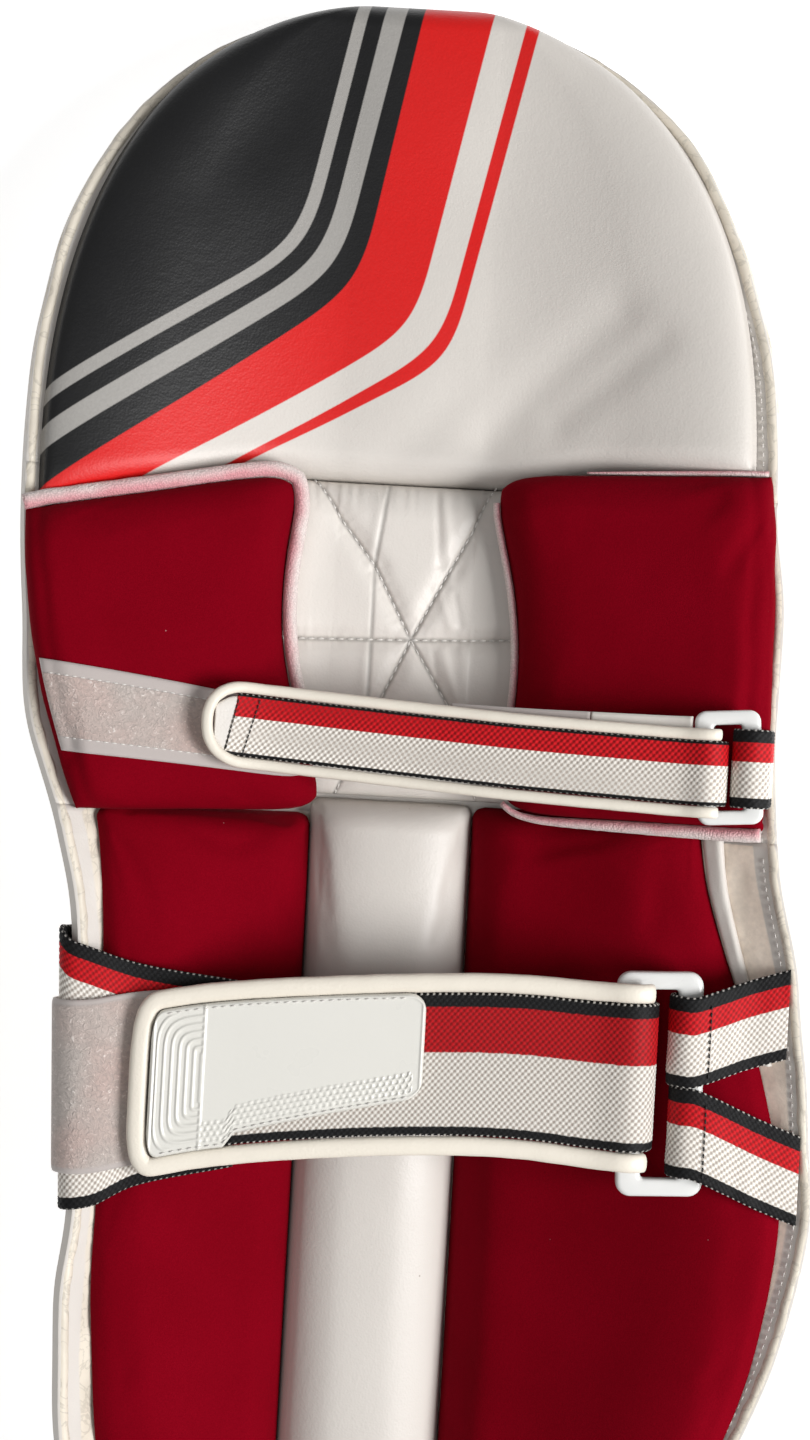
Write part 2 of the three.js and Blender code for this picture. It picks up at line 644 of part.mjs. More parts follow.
// Rounded rectangular ring that a strap is threaded through
function ringMesh(name, ring) {
  const frame = (wide, high, round, Kind) => {
    const outline = new Kind();
    const [x, y] = [wide / 2, high / 2];
    outline.absarc(x - round, y - round, round, 0, Math.PI / 2);
    outline.absarc(-x + round, y - round, round, Math.PI / 2, Math.PI);
    outline.absarc(-x + round, -y + round, round, Math.PI, 1.5 * Math.PI);
    outline.absarc(x - round, -y + round, round, 1.5 * Math.PI, 2 * Math.PI);
    return outline;
  };
  const outline = frame(ring.wide, ring.high, ring.endBar * RING_ROUND.outer, THREE.Shape);
  const [openWide, openHigh] = [ring.wide - 2 * ring.bar, ring.high - 2 * ring.endBar];
  outline.holes.push(frame(openWide, openHigh, ring.endBar * RING_ROUND.inner, THREE.Path));
  const depth = { depth: ring.thick, bevelEnabled: false, curveSegments: RING_ROUND.segments };
  const geometry = new THREE.ExtrudeGeometry(outline, depth);
  geometry.translate(0, 0, -ring.thick / 2);
  const mesh = piece(name, geometry, FINISH.ring);
  mesh.position.set(ring.x, ring.y, ring.z);
  mesh.rotation.set(0, -ring.tilt, ring.turn);
  return mesh;
}

// Radius of webbing that turns round a ring's bar, to the middle of its thickness
function turnRadius(ring, half, thick) {
  return Math.hypot(ring.bar, ring.thick) / 2 + Math.abs(ring.turn) * half + SEAT + thick / 2;
}

// Leather roll round a folded strap's edges and free end
function strapBinding({ frame, length, foldStart }, strap, ends) {
  const half = strap.half + strap.binding + SEAT / 2;
  const lift = (strap.bindingHigh - strap.thick / 2) / 2;
  const cap = ends.round / length;
  const edge = spread(foldStart + ends.overRing / length, cap, BINDING_STEPS.run).slice(0, -1);
  const end = spread(0, Math.PI, BINDING_STEPS.end).map((angle) => {
    const across = Math.sign(Math.cos(angle)) * Math.abs(Math.cos(angle)) ** ends.power;
    return [cap * (1 - Math.sin(angle) ** ends.power), half * across];
  });
  const route = [
    ...edge.map((share) => [share, half]),
    ...end,
    ...edge.toReversed().map((share) => [share, -half]),
  ];
  const places = route.map(([share, across]) => onRibbon(frame, share, across, lift));
  const stations = places.map((centre, index) => {
    const before = places[Math.max(0, index - 1)];
    const after = places[Math.min(places.length - 1, index + 1)];
    const along = after.clone().sub(before).normalize();
    const up = frame(route[index][0]).up.clone();
    const out = new THREE.Vector3().crossVectors(along, up).normalize();
    return { centre, across: out.multiplyScalar(strap.binding), up: up.multiplyScalar(strap.bindingHigh) };
  });
  return roll(stations, BINDING_STEPS.sides);
}

// A strap that is folded round a ring's inner bar: its frame, its length and the shares where the fold lies
function foldedStrap(lineRows, strap, ring, backRow) {
  const line = toPoints(lineRows);
  const bar = barMiddle(ring, -1, line.at(-1).y);
  const fold = halfTurn(bar, turnRadius(ring, strap.half, strap.thick), 1);
  const route = [...line, ...fold, ...toPoints([backRow])];
  const length = lengthOf(route);
  return {
    frame: ribbonFrame(route, ACROSS),
    length,
    foldStart: lengthOf([...line, fold[0]]) / length,
    foldEnd: lengthOf([...line, ...fold]) / length,
  };
}

// Webbing of a folded strap, from a place near its free end to the end of its return
function strapWebbing(folded, strap, start) {
  const { frame, length, foldStart, foldEnd } = folded;
  const run = spread(start / length, foldStart, STRAP_STEPS.run);
  const turn = spread(foldStart, foldEnd, STRAP_STEPS.fold);
  const back = spread(foldEnd, 1, STRAP_STEPS.back);
  return ribbon(frame, strap.half, strap.thick, [...run, ...turn.slice(1), ...back.slice(1)]);
}

// Points of webbing that comes up round a ring's outer bar, ready to run out to the rim
function anchorTurn(ring, anchor, y) {
  const bar = barMiddle(ring, 1, y);
  return halfTurn(bar, turnRadius(ring, anchor.half, anchor.thick), -1).reverse().slice(1);
}

// Knee strap: webbing round the ring, leather binding, end tab, return tail, loop tape, ring and its anchor
function makeKneeStrap() {
  const group = new THREE.Group();
  const folded = foldedStrap(KNEE_STRAP_LINE, KNEE_STRAP, KNEE_RING, KNEE_STRAP_BACK);
  const webbingStart = 14;
  const tab = { start: 4.2, end: 13.4, tip: 7.5, root: 10.6, thick: 1.8 };
  const flat = (grid, skin, thick) => slab(...grid, skin(-thick / 2), skin(thick / 2));
  const tabSkin = (lift) => (s, t) => {
    const along = THREE.MathUtils.lerp(tab.start, tab.end, t) / folded.length;
    const wide = THREE.MathUtils.lerp(tab.tip, tab.root, Math.sin((t * Math.PI) / 2));
    return onRibbon(folded.frame, along, (2 * s - 1) * wide, lift);
  };
  const tail = { start: 94, end: 178, startDrift: 5.4, endDrift: 7.6, half: 13.4, thick: 1.8, gap: 1.2 };
  const tailLift = -(KNEE_STRAP.thick + tail.thick) / 2 - tail.gap;
  const tailSkin = (lift) => (s, t) => {
    const along = THREE.MathUtils.lerp(tail.start, tail.end, t) / folded.length;
    const across = (2 * s - 1) * tail.half + THREE.MathUtils.lerp(tail.startDrift, tail.endDrift, t);
    return onRibbon(folded.frame, along, across, tailLift + lift);
  };
  const loop = { start: 0.02, end: 0.95, foot: 0.195, footFall: 0.11, head: 0.5, headFall: 0.2, thick: 1.6 };
  const loopSkin = (lift) => (s, t) => {
    const across = THREE.MathUtils.lerp(loop.start, loop.end, t);
    const foot = loop.foot - loop.footFall * across;
    const head = loop.head - loop.headFall * across;
    const point = wingTop(WING_LEFT, across, THREE.MathUtils.lerp(foot, head, s));
    point.z += lift;
    return point;
  };
  const loopTape = slab(...GRID.loopTape, loopSkin(SEAT), loopSkin(SEAT + loop.thick));
  const rim = onTrough(troughAt(KNEE_ANCHOR.y).right, KNEE_ANCHOR.y, 0);
  const rimTop = trough(rim.x - KNEE_ANCHOR.rimInset, rim.y - KNEE_ANCHOR.half) + SEAT;
  const drop = [...KNEE_ANCHOR_DROP, { inset: KNEE_ANCHOR.rimInset, z: rimTop }].map(({ inset, z }) => {
    return new THREE.Vector3(rim.x - inset, rim.y, z);
  });
  const anchorFrame = ribbonFrame([...anchorTurn(KNEE_RING, KNEE_ANCHOR, rim.y), ...drop], ACROSS);
  const anchorShares = spread(0, 1, STRAP_STEPS.anchor);
  const anchor = ribbon(anchorFrame, KNEE_ANCHOR.half, KNEE_ANCHOR.thick, anchorShares);
  const binding = strapBinding(folded, KNEE_STRAP, KNEE_STRAP_ENDS);
  group.add(
    piece("knee_strap_webbing", strapWebbing(folded, KNEE_STRAP, webbingStart), FINISH.webbing),
    piece("knee_strap_binding", binding, FINISH.creamLeather),
    piece("knee_strap_tab", flat(GRID.tab, tabSkin, tab.thick), FINISH.whiteLeather),
    piece("knee_strap_tail", flat(GRID.tail, tailSkin, tail.thick), FINISH.loopTape),
    piece("knee_loop_tape", loopTape, FINISH.loopTape),
    ringMesh("knee_ring", KNEE_RING),
    piece("knee_ring_anchor", anchor, FINISH.webbing),
  );
  return group;
}

// Calf strap: wide webbing with a moulded patch, its ring, two outer anchors and the bands at the inner rim
function makeCalfStrap() {
  const group = new THREE.Group();
  const folded = foldedStrap(CALF_STRAP_LINE, CALF_STRAP, CALF_RING, CALF_STRAP_BACK);
  const webbingStart = 12;
  const patch = { start: 4.8, end: 109, half: 27.2, thick: 2.2, tip: 7.1, round: 7 };
  const lowerCut = { start: 36, notch: 4.5, depth: 15 };
  const patchSkin = (lift) => (s, t) => {
    const along = THREE.MathUtils.lerp(patch.start, patch.end, crowd(t));
    const tip = Math.max(0, (CALF_STRAP_ENDS.round - along) / patch.tip);
    const corner = Math.max(0, 1 - (patch.end - along) / patch.round);
    const pull = patch.round * (1 - Math.sqrt(1 - corner ** 2));
    const squareness = 2 / CALF_STRAP_ENDS.power;
    const top = patch.half * (1 - tip ** squareness) ** (1 / squareness) - pull;
    const beyond = (along - lowerCut.start) / (patch.end - lowerCut.start);
    const cut = beyond > 0 ? THREE.MathUtils.lerp(lowerCut.notch, lowerCut.depth, beyond) : 0;
    return onRibbon(folded.frame, along / folded.length, THREE.MathUtils.lerp(cut - top, top, s), lift);
  };
  const patchBed = CALF_STRAP.thick / 2 + SEAT;
  const patchBody = slab(...GRID.patch, patchSkin(patchBed), patchSkin(patchBed + patch.thick));
  const anchor = ({ ringY, rimY }) => {
    const reach = troughAt(rimY).right;
    const dipY = THREE.MathUtils.lerp(ringY, rimY, CALF_ANCHOR.dipShare);
    const dip = onTrough(reach - CALF_ANCHOR.dip, dipY, CALF_ANCHOR.dipLift);
    const rim = onTrough(reach - CALF_ANCHOR.reach, rimY, CALF_ANCHOR.thick / 2 + CALF_ANCHOR.seat);
    const frame = ribbonFrame([...anchorTurn(CALF_RING, CALF_ANCHOR, ringY), dip, rim], ACROSS);
    return ribbon(frame, CALF_ANCHOR.half, CALF_ANCHOR.thick, spread(0, 1, STRAP_STEPS.anchor));
  };
  const bandFrame = ({ rimY, innerY, bend }, lift) => {
    const y = (share) => THREE.MathUtils.lerp(rimY, innerY, share ** bend);
    const rimX = BAND_LEAN * (rimY - CALF_LOOP.rimY) - troughAt(CALF_LOOP.rimY).left;
    const under = BAND_UNDER.map((row) => onOuterFace(rimX + row.inset, rimY, row.lift + lift));
    const round = BAND_ROUND_RIM.map((row) => {
      return new THREE.Vector3(rimX + row.inset - row.out * lift, y(row.share), row.z + row.up * lift);
    });
    const inner = BAND_INNER.map((row) => new THREE.Vector3(row.x, y(row.share), row.z + lift));
    return ribbonFrame([...under, ...round, ...inner], BAND_ACROSS);
  };
  const bandShares = spread(0, 1, STRAP_STEPS.band);
  const band = (rows) => ribbon(bandFrame(rows, 0), CALF_BAND.half, CALF_BAND.thick, bandShares);
  const loopLift = (CALF_BAND.thick + CALF_LOOP.thick) / 2 + CALF_LOOP.gap;
  const loopShares = spread(CALF_LOOP.start, CALF_LOOP.end, STRAP_STEPS.loop);
  const loop = ribbon(bandFrame(CALF_LOOP, loopLift), CALF_LOOP.half, CALF_LOOP.thick, loopShares);
  const binding = strapBinding(folded, CALF_STRAP, CALF_STRAP_ENDS);
  group.add(
    piece("calf_strap_webbing", strapWebbing(folded, CALF_STRAP, webbingStart), FINISH.webbing),
    piece("calf_strap_binding", binding, FINISH.creamLeather),
    piece("calf_strap_patch", patchBody, FINISH.ring),
    piece("calf_band_upper", band(CALF_BAND_UPPER), FINISH.webbing),
    piece("calf_band_lower", band(CALF_BAND_LOWER), FINISH.webbing),
    piece("calf_loop_patch", loop, FINISH.loopTape),
    ringMesh("calf_ring", CALF_RING),
    piece("calf_anchor_upper", anchor(CALF_ANCHOR_UPPER), FINISH.webbing),
    piece("calf_anchor_lower", anchor(CALF_ANCHOR_LOWER), FINISH.webbing),
  );
  return group;
}

const battingPad = new THREE.Group();
battingPad.add(makeShell(), makeFront(), makeHollowPads(), makeBolsters(), makeWings());
battingPad.add(makeKneeStrap(), makeCalfStrap());
battingPad.position.x = AXIS_X;

export default battingPad;
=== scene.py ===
import math
from functools import lru_cache

import bmesh
import bpy
import numpy as np
from mathutils import Matrix, Vector, noise
from mathutils.bvhtree import BVHTree


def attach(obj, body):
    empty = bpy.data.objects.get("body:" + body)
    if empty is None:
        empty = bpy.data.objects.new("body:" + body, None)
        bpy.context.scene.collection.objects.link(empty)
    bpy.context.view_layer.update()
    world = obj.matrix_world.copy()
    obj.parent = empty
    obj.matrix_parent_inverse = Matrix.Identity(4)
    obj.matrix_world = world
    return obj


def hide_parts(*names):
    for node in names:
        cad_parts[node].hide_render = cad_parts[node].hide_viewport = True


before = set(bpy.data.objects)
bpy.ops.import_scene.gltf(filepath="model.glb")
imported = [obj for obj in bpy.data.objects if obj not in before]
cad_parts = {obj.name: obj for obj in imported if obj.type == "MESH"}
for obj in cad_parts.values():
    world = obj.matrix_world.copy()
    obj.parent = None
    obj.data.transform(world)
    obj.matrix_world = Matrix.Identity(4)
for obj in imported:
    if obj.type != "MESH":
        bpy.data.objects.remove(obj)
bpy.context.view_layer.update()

scene = bpy.context.scene


# Stage: a pale matt floor under the pad, an even bright room and two broad soft lights.
# The camera hangs straight above the pad, which lies on its front, and sees its leg side.
FLOOR_HALF = 3.0
FLOOR_GAP = 0.0004
FLOOR_WHITE = (0.93, 0.93, 0.93, 1)
FLOOR_GLOW = 0.62
ROOM_LIGHT = 0.26
KEY_LIGHT = {"place": (1.15, -0.2, 1.1), "size": 0.8, "power": 29}
FILL_LIGHT = {"place": (-0.5, -0.3, 1.9), "size": 1.4, "power": 6}
CAMERA_PLACE = (-0.0042, 0.0546, 0.850)
CAMERA_TURN = math.radians(3.2)
CAMERA_LENS = 50


def soft_light(name, place, size, power):
    """A round studio light that points at the pad."""
    lamp = bpy.data.lights.new(name, "AREA")
    lamp.shape, lamp.size, lamp.energy = "DISK", size, power
    light = bpy.data.objects.new(name, lamp)
    light.location = place
    light.rotation_euler = Vector(place).to_track_quat("Z", "Y").to_euler()
    scene.collection.objects.link(light)


bm = bmesh.new()
bmesh.ops.create_grid(bm, x_segments=1, y_segments=1, size=FLOOR_HALF)
bmesh.ops.translate(bm, verts=bm.verts, vec=(0, 0, -FLOOR_GAP))
floor_mesh = bpy.data.meshes.new("studio_floor")
bm.to_mesh(floor_mesh)
bm.free()
floor_paint = bpy.data.materials.new("floor_paint")
floor_paint.use_nodes = True
floor_shader = floor_paint.node_tree.nodes["Principled BSDF"]
floor_shader.inputs["Base Color"].default_value = FLOOR_WHITE
floor_shader.inputs["Roughness"].default_value = 0.9
floor_shader.inputs["Emission Color"].default_value = FLOOR_WHITE
floor_shader.inputs["Emission Strength"].default_value = FLOOR_GLOW
floor_mesh.materials.append(floor_paint)
floor = bpy.data.objects.new("studio_floor", floor_mesh)
scene.collection.objects.link(floor)

room = bpy.data.worlds.new("bright_room")
room.use_nodes = True
room.node_tree.nodes["Background"].inputs["Color"].default_value = (1, 1, 1, 1)
room.node_tree.nodes["Background"].inputs["Strength"].default_value = ROOM_LIGHT
scene.world = room
scene.view_settings.view_transform = "Standard"
soft_light("key_light", **KEY_LIGHT)
soft_light("fill_light", **FILL_LIGHT)

camera = bpy.data.objects.new("camera", bpy.data.cameras.new("camera"))
camera.location = CAMERA_PLACE
camera.rotation_euler = (0, 0, CAMERA_TURN)
camera.data.lens = CAMERA_LENS
scene.collection.objects.link(camera)
scene.camera = camera


# Shell: the stiff trough that holds the leg, in four plates of foam in white coated leathercloth.
# The cover is turned over the rim in a roll and sewn down; below the knee a beige cloth lines it.
# All shapes are worked out in millimetres from the trough's middle line and settled in the frame.
MM = 0.001
AXIS_X = -7.78
TOP_Y, KNEE_TOP_Y, KNEE_FOOT_Y, INSTEP_Y, FOOT_Y = 348, 147, 15, -294, -348
SEAT = 0.7
WALL, RIM_WALL, RIM_POWER = 9, 3.5, 6
INNER_Z, FLAT_HALF, BOWL_POWER = 22, 28, 1.6
INSTEP_ARCH, INSTEP_DEPTH, INSTEP_POWER = 20, 15, 3
TOP_HAT_ROUND_LEFT, TOP_HAT_ROUND_RIGHT, TOP_HAT_TIP = 2.42, 2.17, 0.997
TROUGH = (  # place along the leg: reach to the left and right, height of the left and right rim
    (-348, 92, 98, 60, 60),
    (-290, 104, 116, 70, 74),
    (-230, 114, 139, 80, 86),
    (-180, 116, 157, 84, 91),
    (-130, 113.8, 167, 84, 92),
    (-80, 116, 164, 84, 92),
    (-35, 117, 158, 84, 90),
    (5, 125, 149, 82, 85),
    (45, 139, 147, 80, 81),
    (100, 146, 147, 78, 78),
    (150, 149.8, 144, 72, 72),
    (348, 149.8, 144, 66, 66),
)
SHELL_COLUMNS = 120
RIM_ROLL_WIDE, RIM_ROLL_HIGH, RIM_ROLL_INSET = 2.5, 2.7, 2.2
RIM_WAVE, RIM_WAVE_LENGTH = 1.5, 34
TURNED_EDGE, STITCH_INSET = 7, 5
LINING_WRINKLE, LOOSE_LEATHER, JOINT_GATHER = 1.0, 1.7, 1.3
LEATHER_WHITE = (0.67, 0.63, 0.585, 1)
LEATHER_CREAM = (0.74, 0.675, 0.57, 1)
LINING_BEIGE = (0.98, 0.85, 0.72, 1)
THREAD_WHITE = (0.80, 0.77, 0.73, 1)
DIRT_BROWN = (0.16, 0.10, 0.06, 1)


def eased(rows):
    """Reads a table of (place, value, ...) rows as smooth curves."""
    places, values = np.array(rows, float)[:, 0], np.array(rows, float)[:, 1:]
    secants = np.diff(values, axis=0) / np.diff(places)[:, None]
    slopes = np.vstack((secants[:1], (secants[1:] + secants[:-1]) / 2, secants[-1:]))

    @lru_cache(maxsize=None)
    def at(place):
        place = min(max(place, places[0]), places[-1])
        i = min(int(np.searchsorted(places, place, "right")) - 1, len(places) - 2)
        gap = places[i + 1] - places[i]
        t = (place - places[i]) / gap
        rise, fall = 3 * t**2 - 2 * t**3, 2 * t**3 - 3 * t**2 + 1
        leave, arrive = t**3 - 2 * t**2 + t, t**3 - t**2
        ends = fall * values[i] + rise * values[i + 1]
        return tuple(ends + gap * (leave * slopes[i] + arrive * slopes[i + 1]))

    return at


width_of = eased(TROUGH)


def mid(a, b, share):
    """The value a share of the way from one to another."""
    return a + (b - a) * share


def held(value):
    """A value stopped at nothing and at one."""
    return min(1.0, max(0.0, value))


def bell(away, wide):
    """One at a place, fading to nothing beside it."""
    return math.exp(-((away / wide) ** 2))


def wobble(x, y, z):
    """Smooth random unevenness, between minus one and one."""
    return noise.noise(Vector((x, y, z)))


def trough(x, y):
    """Height of the shell's inner face."""
    left, right, left_rim, right_rim = width_of(y)
    reach, rim = (left, left_rim) if x < 0 else (right, right_rim)
    climb = max(0.0, (abs(x) - FLAT_HALF) / (reach - FLAT_HALF))
    return INNER_Z + (rim - INNER_Z) * climb**BOWL_POWER


def on_trough(x, y, lift):
    """A point lifted off the shell's inner face, or sunk below it."""
    slope_x = trough(x + 0.5, y) - trough(x - 0.5, y)
    slope_y = trough(x, y + 0.5) - trough(x, y - 0.5)
    return Vector((x, y, trough(x, y))) + Vector((-slope_x, -slope_y, 1)).normalized() * lift


def top_hat_halves(y):
    """Half widths of the round top, to the left and right."""
    share = held((y - KNEE_TOP_Y) / (TOP_Y - KNEE_TOP_Y))
    left, right = width_of(y)[:2]
    return tuple(half * (1 - share**power) ** (1 / power)
                 for half, power in ((left, TOP_HAT_ROUND_LEFT), (right, TOP_HAT_ROUND_RIGHT)))


def top_hat_y(t):
    """Rows that crowd together towards the round top."""
    return KNEE_TOP_Y + (TOP_Y - KNEE_TOP_Y) * TOP_HAT_TIP * math.sin(t * math.pi / 2)


def wall(full, power, x, halves):
    """Thickness of a plate, which thins towards the rim."""
    share = min(1.0, abs(x) / halves[int(x > 0)])
    return full - (full - RIM_WALL) * share**power


def blank():
    """An empty mesh whose points keep their share across, their share along and one mark."""
    made = bmesh.new()
    made.verts.layers.float_vector.new("share")
    return made


def skin(bm, columns, rows, place, mark=None):
    """A flat grid bent into shape: place(s, t) gives the point at shares s across and t along."""
    share = bm.verts.layers.float_vector["share"]
    made = bmesh.ops.create_grid(bm, x_segments=columns, y_segments=rows, size=0.5)["verts"]
    for vert in made:
        s, t = round(vert.co.x + 0.5, 6), round(vert.co.y + 0.5, 6)
        vert[share] = (s, t, mark(s, t) if mark else 0)
        vert.co = place(s, t)
        for face in vert.link_faces:
            face.smooth = True
    return made


def slab(bm, columns, rows, under, over, mark=None):
    """A closed sheet with a lower and an upper skin, joined round their edge."""
    skin(bm, columns, rows, under, mark)
    skin(bm, columns, rows, over, mark)
    edge = [edge for edge in bm.edges if edge.is_boundary]
    for face in bmesh.ops.bridge_loops(bm, edges=edge)["faces"]:
        face.smooth = False


def squarish(angle, power):
    """A place on a circle: the lower the power, the further it is pushed out towards a square's corners."""
    return [math.copysign(abs(v) ** power, v) for v in (math.cos(angle), math.sin(angle))]


def tube(bm, path, wide, high, sides=10, square=1.0, swell=None, mark=0.0):
    """A closed roll along a line of points, with its seam welded and its ends filled in."""
    steps = len(path) - 1

    def place(s, t):
        i, angle = round(t * steps), 2 * math.pi * s
        along = (path[min(i + 1, steps)] - path[max(i - 1, 0)]).normalized()
        side = along.cross(Vector((0, 0, 1))).normalized()
        size = swell(s, t) if swell else 1.0
        out, up = squarish(angle, square)
        return path[i] + (side * (wide * out) + side.cross(along) * (high * up)) * size

    made = skin(bm, sides, steps, place, lambda s, t: mark)
    bmesh.ops.remove_doubles(bm, verts=made, dist=0.001)
    bmesh.ops.holes_fill(bm, edges=[edge for edge in bm.edges if edge.is_boundary])


def measured(line):
    """A line of points by its length: at(distance) is a place on it; also gives the whole length."""
    points = np.array(line)
    lengths = np.concatenate(([0], np.cumsum(np.linalg.norm(np.diff(points, axis=0), axis=1))))

    def at(distance):
        return Vector([np.interp(distance, lengths, points[:, k]) for k in range(3)])

    return at, lengths[-1]


def sew(bm, line, pitch, length, wide):
    """Beads of thread along a line of points, one stitch to each pitch."""
    at, total = measured(line)
    for start in np.arange(0, total - length, pitch):
        a, b = at(start), at(start + length)
        turn = Vector((1, 0, 0)).rotation_difference(b - a)
        shape = Matrix.LocRotScale((a + b) / 2, turn, Vector((length * 1.1, wide, wide)))
        for vert in bmesh.ops.create_icosphere(bm, subdivisions=1, radius=0.5, matrix=shape)["verts"]:
            for face in vert.link_faces:
                face.smooth = True


def settle(bm, name, look, slot, nodes=()):
    """Brings a finished mesh from millimetres into the frame, as a piece that rides on the pad."""
    bmesh.ops.recalc_face_normals(bm, faces=bm.faces)
    bmesh.ops.translate(bm, verts=bm.verts, vec=(AXIS_X, 0, 0))
    bmesh.ops.scale(bm, verts=bm.verts, vec=(MM, MM, MM))
    mesh = bpy.data.meshes.new(name)
    bm.to_mesh(mesh)
    bm.free()
    mesh.materials.append(look)
    piece = bpy.data.objects.new(name, mesh)
    scene.collection.objects.link(piece)
    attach(piece, "root")
    if nodes:
        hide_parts(*nodes)
    return piece


def add(tree, kind, inputs=None, **settings):
    """Adds a shader node; an input is a value or the socket that feeds it."""
    made = tree.nodes.new("ShaderNode" + kind)
    for name, value in settings.items():
        setattr(made, name, value)
    for name, value in (inputs or {}).items():
        if isinstance(value, bpy.types.NodeSocket):
            tree.links.new(value, made.inputs[name])
        else:
            made.inputs[name].default_value = value
    return made


def sums(tree, operation, *values):
    """Works out one operation on shader values."""
    return add(tree, "Math", dict(enumerate(values)), operation=operation).outputs[0]


def mix(tree, share, first, second):
    """Goes from the first colour to the second with the share."""
    return add(tree, "Mix", {0: share, 6: first, 7: second}, data_type="RGBA").outputs[2]


def between(tree, value, low, high, to_low=0.0, to_high=1.0):
    """Maps a value's range onto another and stops at its ends."""
    span = {0: value, 1: low, 2: high, 3: to_low, 4: to_high}
    return add(tree, "MapRange", span).outputs[0]


def grain(tree, spot, scale, detail, distortion=0.0):
    """A cloudy random pattern in a look."""
    pattern = {"Vector": spot, "Scale": scale, "Detail": detail, "Distortion": distortion}
    return add(tree, "TexNoise", pattern).outputs[0]


def dimmed(colour, share):
    """A colour made darker, or lighter, by a share."""
    return (*(value * share for value in colour[:3]), 1)


def marks(tree):
    """A point's share across, its share along and its mark, for a shader."""
    share = add(tree, "Attribute", attribute_name="share").outputs["Vector"]
    return add(tree, "SeparateXYZ", {0: share}).outputs


def new_look(name, **sockets):
    """A material with its fixed values set on the shader's own sockets."""
    look = bpy.data.materials.new(name)
    look.use_nodes = True
    shader = look.node_tree.nodes["Principled BSDF"]
    for socket, value in sockets.items():
        shader.inputs[socket.replace("_", " ")].default_value = value
    spot = add(look.node_tree, "TexCoord").outputs["Object"]
    return look, look.node_tree, shader, spot


def wire(tree, shader, colour, rough, height, depth):
    """Feeds a shader its colour and roughness, and its bump from a height."""
    normal = add(tree, "Bump", {"Height": height, "Strength": 1.0, "Distance": depth}).outputs[0]
    for socket, value in (("Base Color", colour), ("Roughness", rough), ("Normal", normal)):
        tree.links.new(value, shader.inputs[socket])


def leather(name, colour, paint=None):
    """Coated leathercloth: pebbled grain, soft mottling and a few specks of dirt."""
    look, tree, shader, spot = new_look(name, Specular_IOR_Level=0.42)
    cloud = grain(tree, spot, 16, 5)
    base = mix(tree, cloud, dimmed(colour, 0.92), dimmed(colour, 1.04))
    if paint:
        base = paint(tree, spot, base)
    cells = add(tree, "TexVoronoi", {"Vector": spot, "Scale": 70})
    chance = add(tree, "SeparateColor", {0: cells.outputs["Color"]}).outputs[0]
    spots = between(tree, cells.outputs["Distance"], 0.035, 0.025, 0.0, 0.5)
    speck = sums(tree, "MULTIPLY", sums(tree, "GREATER_THAN", chance, 0.8), spots)
    base = mix(tree, speck, base, DIRT_BROWN)
    pebble = add(tree, "TexVoronoi", {"Vector": spot, "Scale": 1100, "Smoothness": 0.8}, feature="SMOOTH_F1")
    soft = grain(tree, spot, 260, 3)
    height = sums(tree, "ADD", pebble.outputs["Distance"], sums(tree, "MULTIPLY", soft, 1.6))
    rough = between(tree, cloud, 0.3, 0.7, 0.36, 0.5)
    wire(tree, shader, base, rough, height, 0.00006)
    return look


def lined(tree, spot, base):
    """Creamy crumpled leathercloth, with painted shade in its creases, where the mark is below nothing, and
    beige cloth where it is above.
    """
    mark = marks(tree)[2]
    threads = grain(tree, spot, 420, 4)
    stain = grain(tree, spot, 45, 3)
    cloth = mix(tree, threads, dimmed(LINING_BEIGE, 0.8), dimmed(LINING_BEIGE, 1.15))
    cloth = mix(tree, between(tree, stain, 0.55, 0.75, 0.0, 0.35), cloth, dimmed(LINING_BEIGE, 0.6))
    rim = mix(tree, between(tree, stain, 0.45, 0.8, 0.0, 0.5), LEATHER_CREAM, dimmed(LEATHER_CREAM, 0.6))
    # Painted shade: the crumpled cream leathercloth is darkened along the crease lines of a cloudy pattern.
    crumple = grain(tree, spot, 75, 4, 1.6)
    off_crease = sums(tree, "ABSOLUTE", sums(tree, "SUBTRACT", crumple, 0.5))
    crease = between(tree, off_crease, 0.0, 0.035, 0.35, 0.0)
    rim = mix(tree, crease, rim, dimmed(LEATHER_CREAM, 0.4))
    base = mix(tree, between(tree, mark, -0.4, -0.6), base, rim)
    return mix(tree, between(tree, mark, 0.4, 0.6), base, cloth)


def thread(name, colour):
    """Twisted sewing thread."""
    look, tree, shader, spot = new_look(name)
    twist = grain(tree, spot, 1800, 2)
    rough = between(tree, twist, 0.2, 0.8, 0.55, 0.8)
    wire(tree, shader, mix(tree, twist, dimmed(colour, 0.7), colour), rough, twist, 0.0001)
    return look


white_leather = leather("white_leathercloth", LEATHER_WHITE)
shell_leather = leather("shell_leathercloth", LEATHER_WHITE, lined)
white_thread = thread("white_thread", THREAD_WHITE)


def rim_wave(y, side):
    """Sideways waviness of the soft rim."""
    return RIM_WAVE * wobble(y / RIM_WAVE_LENGTH, side * 7.3, 0.5)


def shell_plan(halves, y):
    """A place across the shell at one height: the rim wanders, and the middle stays."""
    def at(s):
        x = mid(-halves[0], halves[1], s)
        side = -1 if x < 0 else 1
        return x + side * rim_wave(y, side) * (abs(x) / halves[int(x > 0)]) ** 10
    return at


def plain_plan(low, high):
    def plan(s, t):
        y = mid(low, high, t)
        return shell_plan(width_of(y)[:2], y)(s), y
    return plan


def top_hat_plan(s, t):
    y = top_hat_y(t)
    return shell_plan(top_hat_halves(y), y)(s), y


def instep_plan(s, t):
    y = mid(FOOT_Y + INSTEP_ARCH * (1 - (2 * s - 1) ** 2), INSTEP_Y, t)
    return shell_plan(width_of(y)[:2], y)(s), y


def shell_wall(x, y):
    return wall(WALL, RIM_POWER, x, width_of(y)[:2])


def top_hat_wall(x, y):
    return wall(WALL, RIM_POWER, x, top_hat_halves(y))


def instep_wall(x, y):
    return wall(INSTEP_DEPTH, INSTEP_POWER, x, width_of(y)[:2])


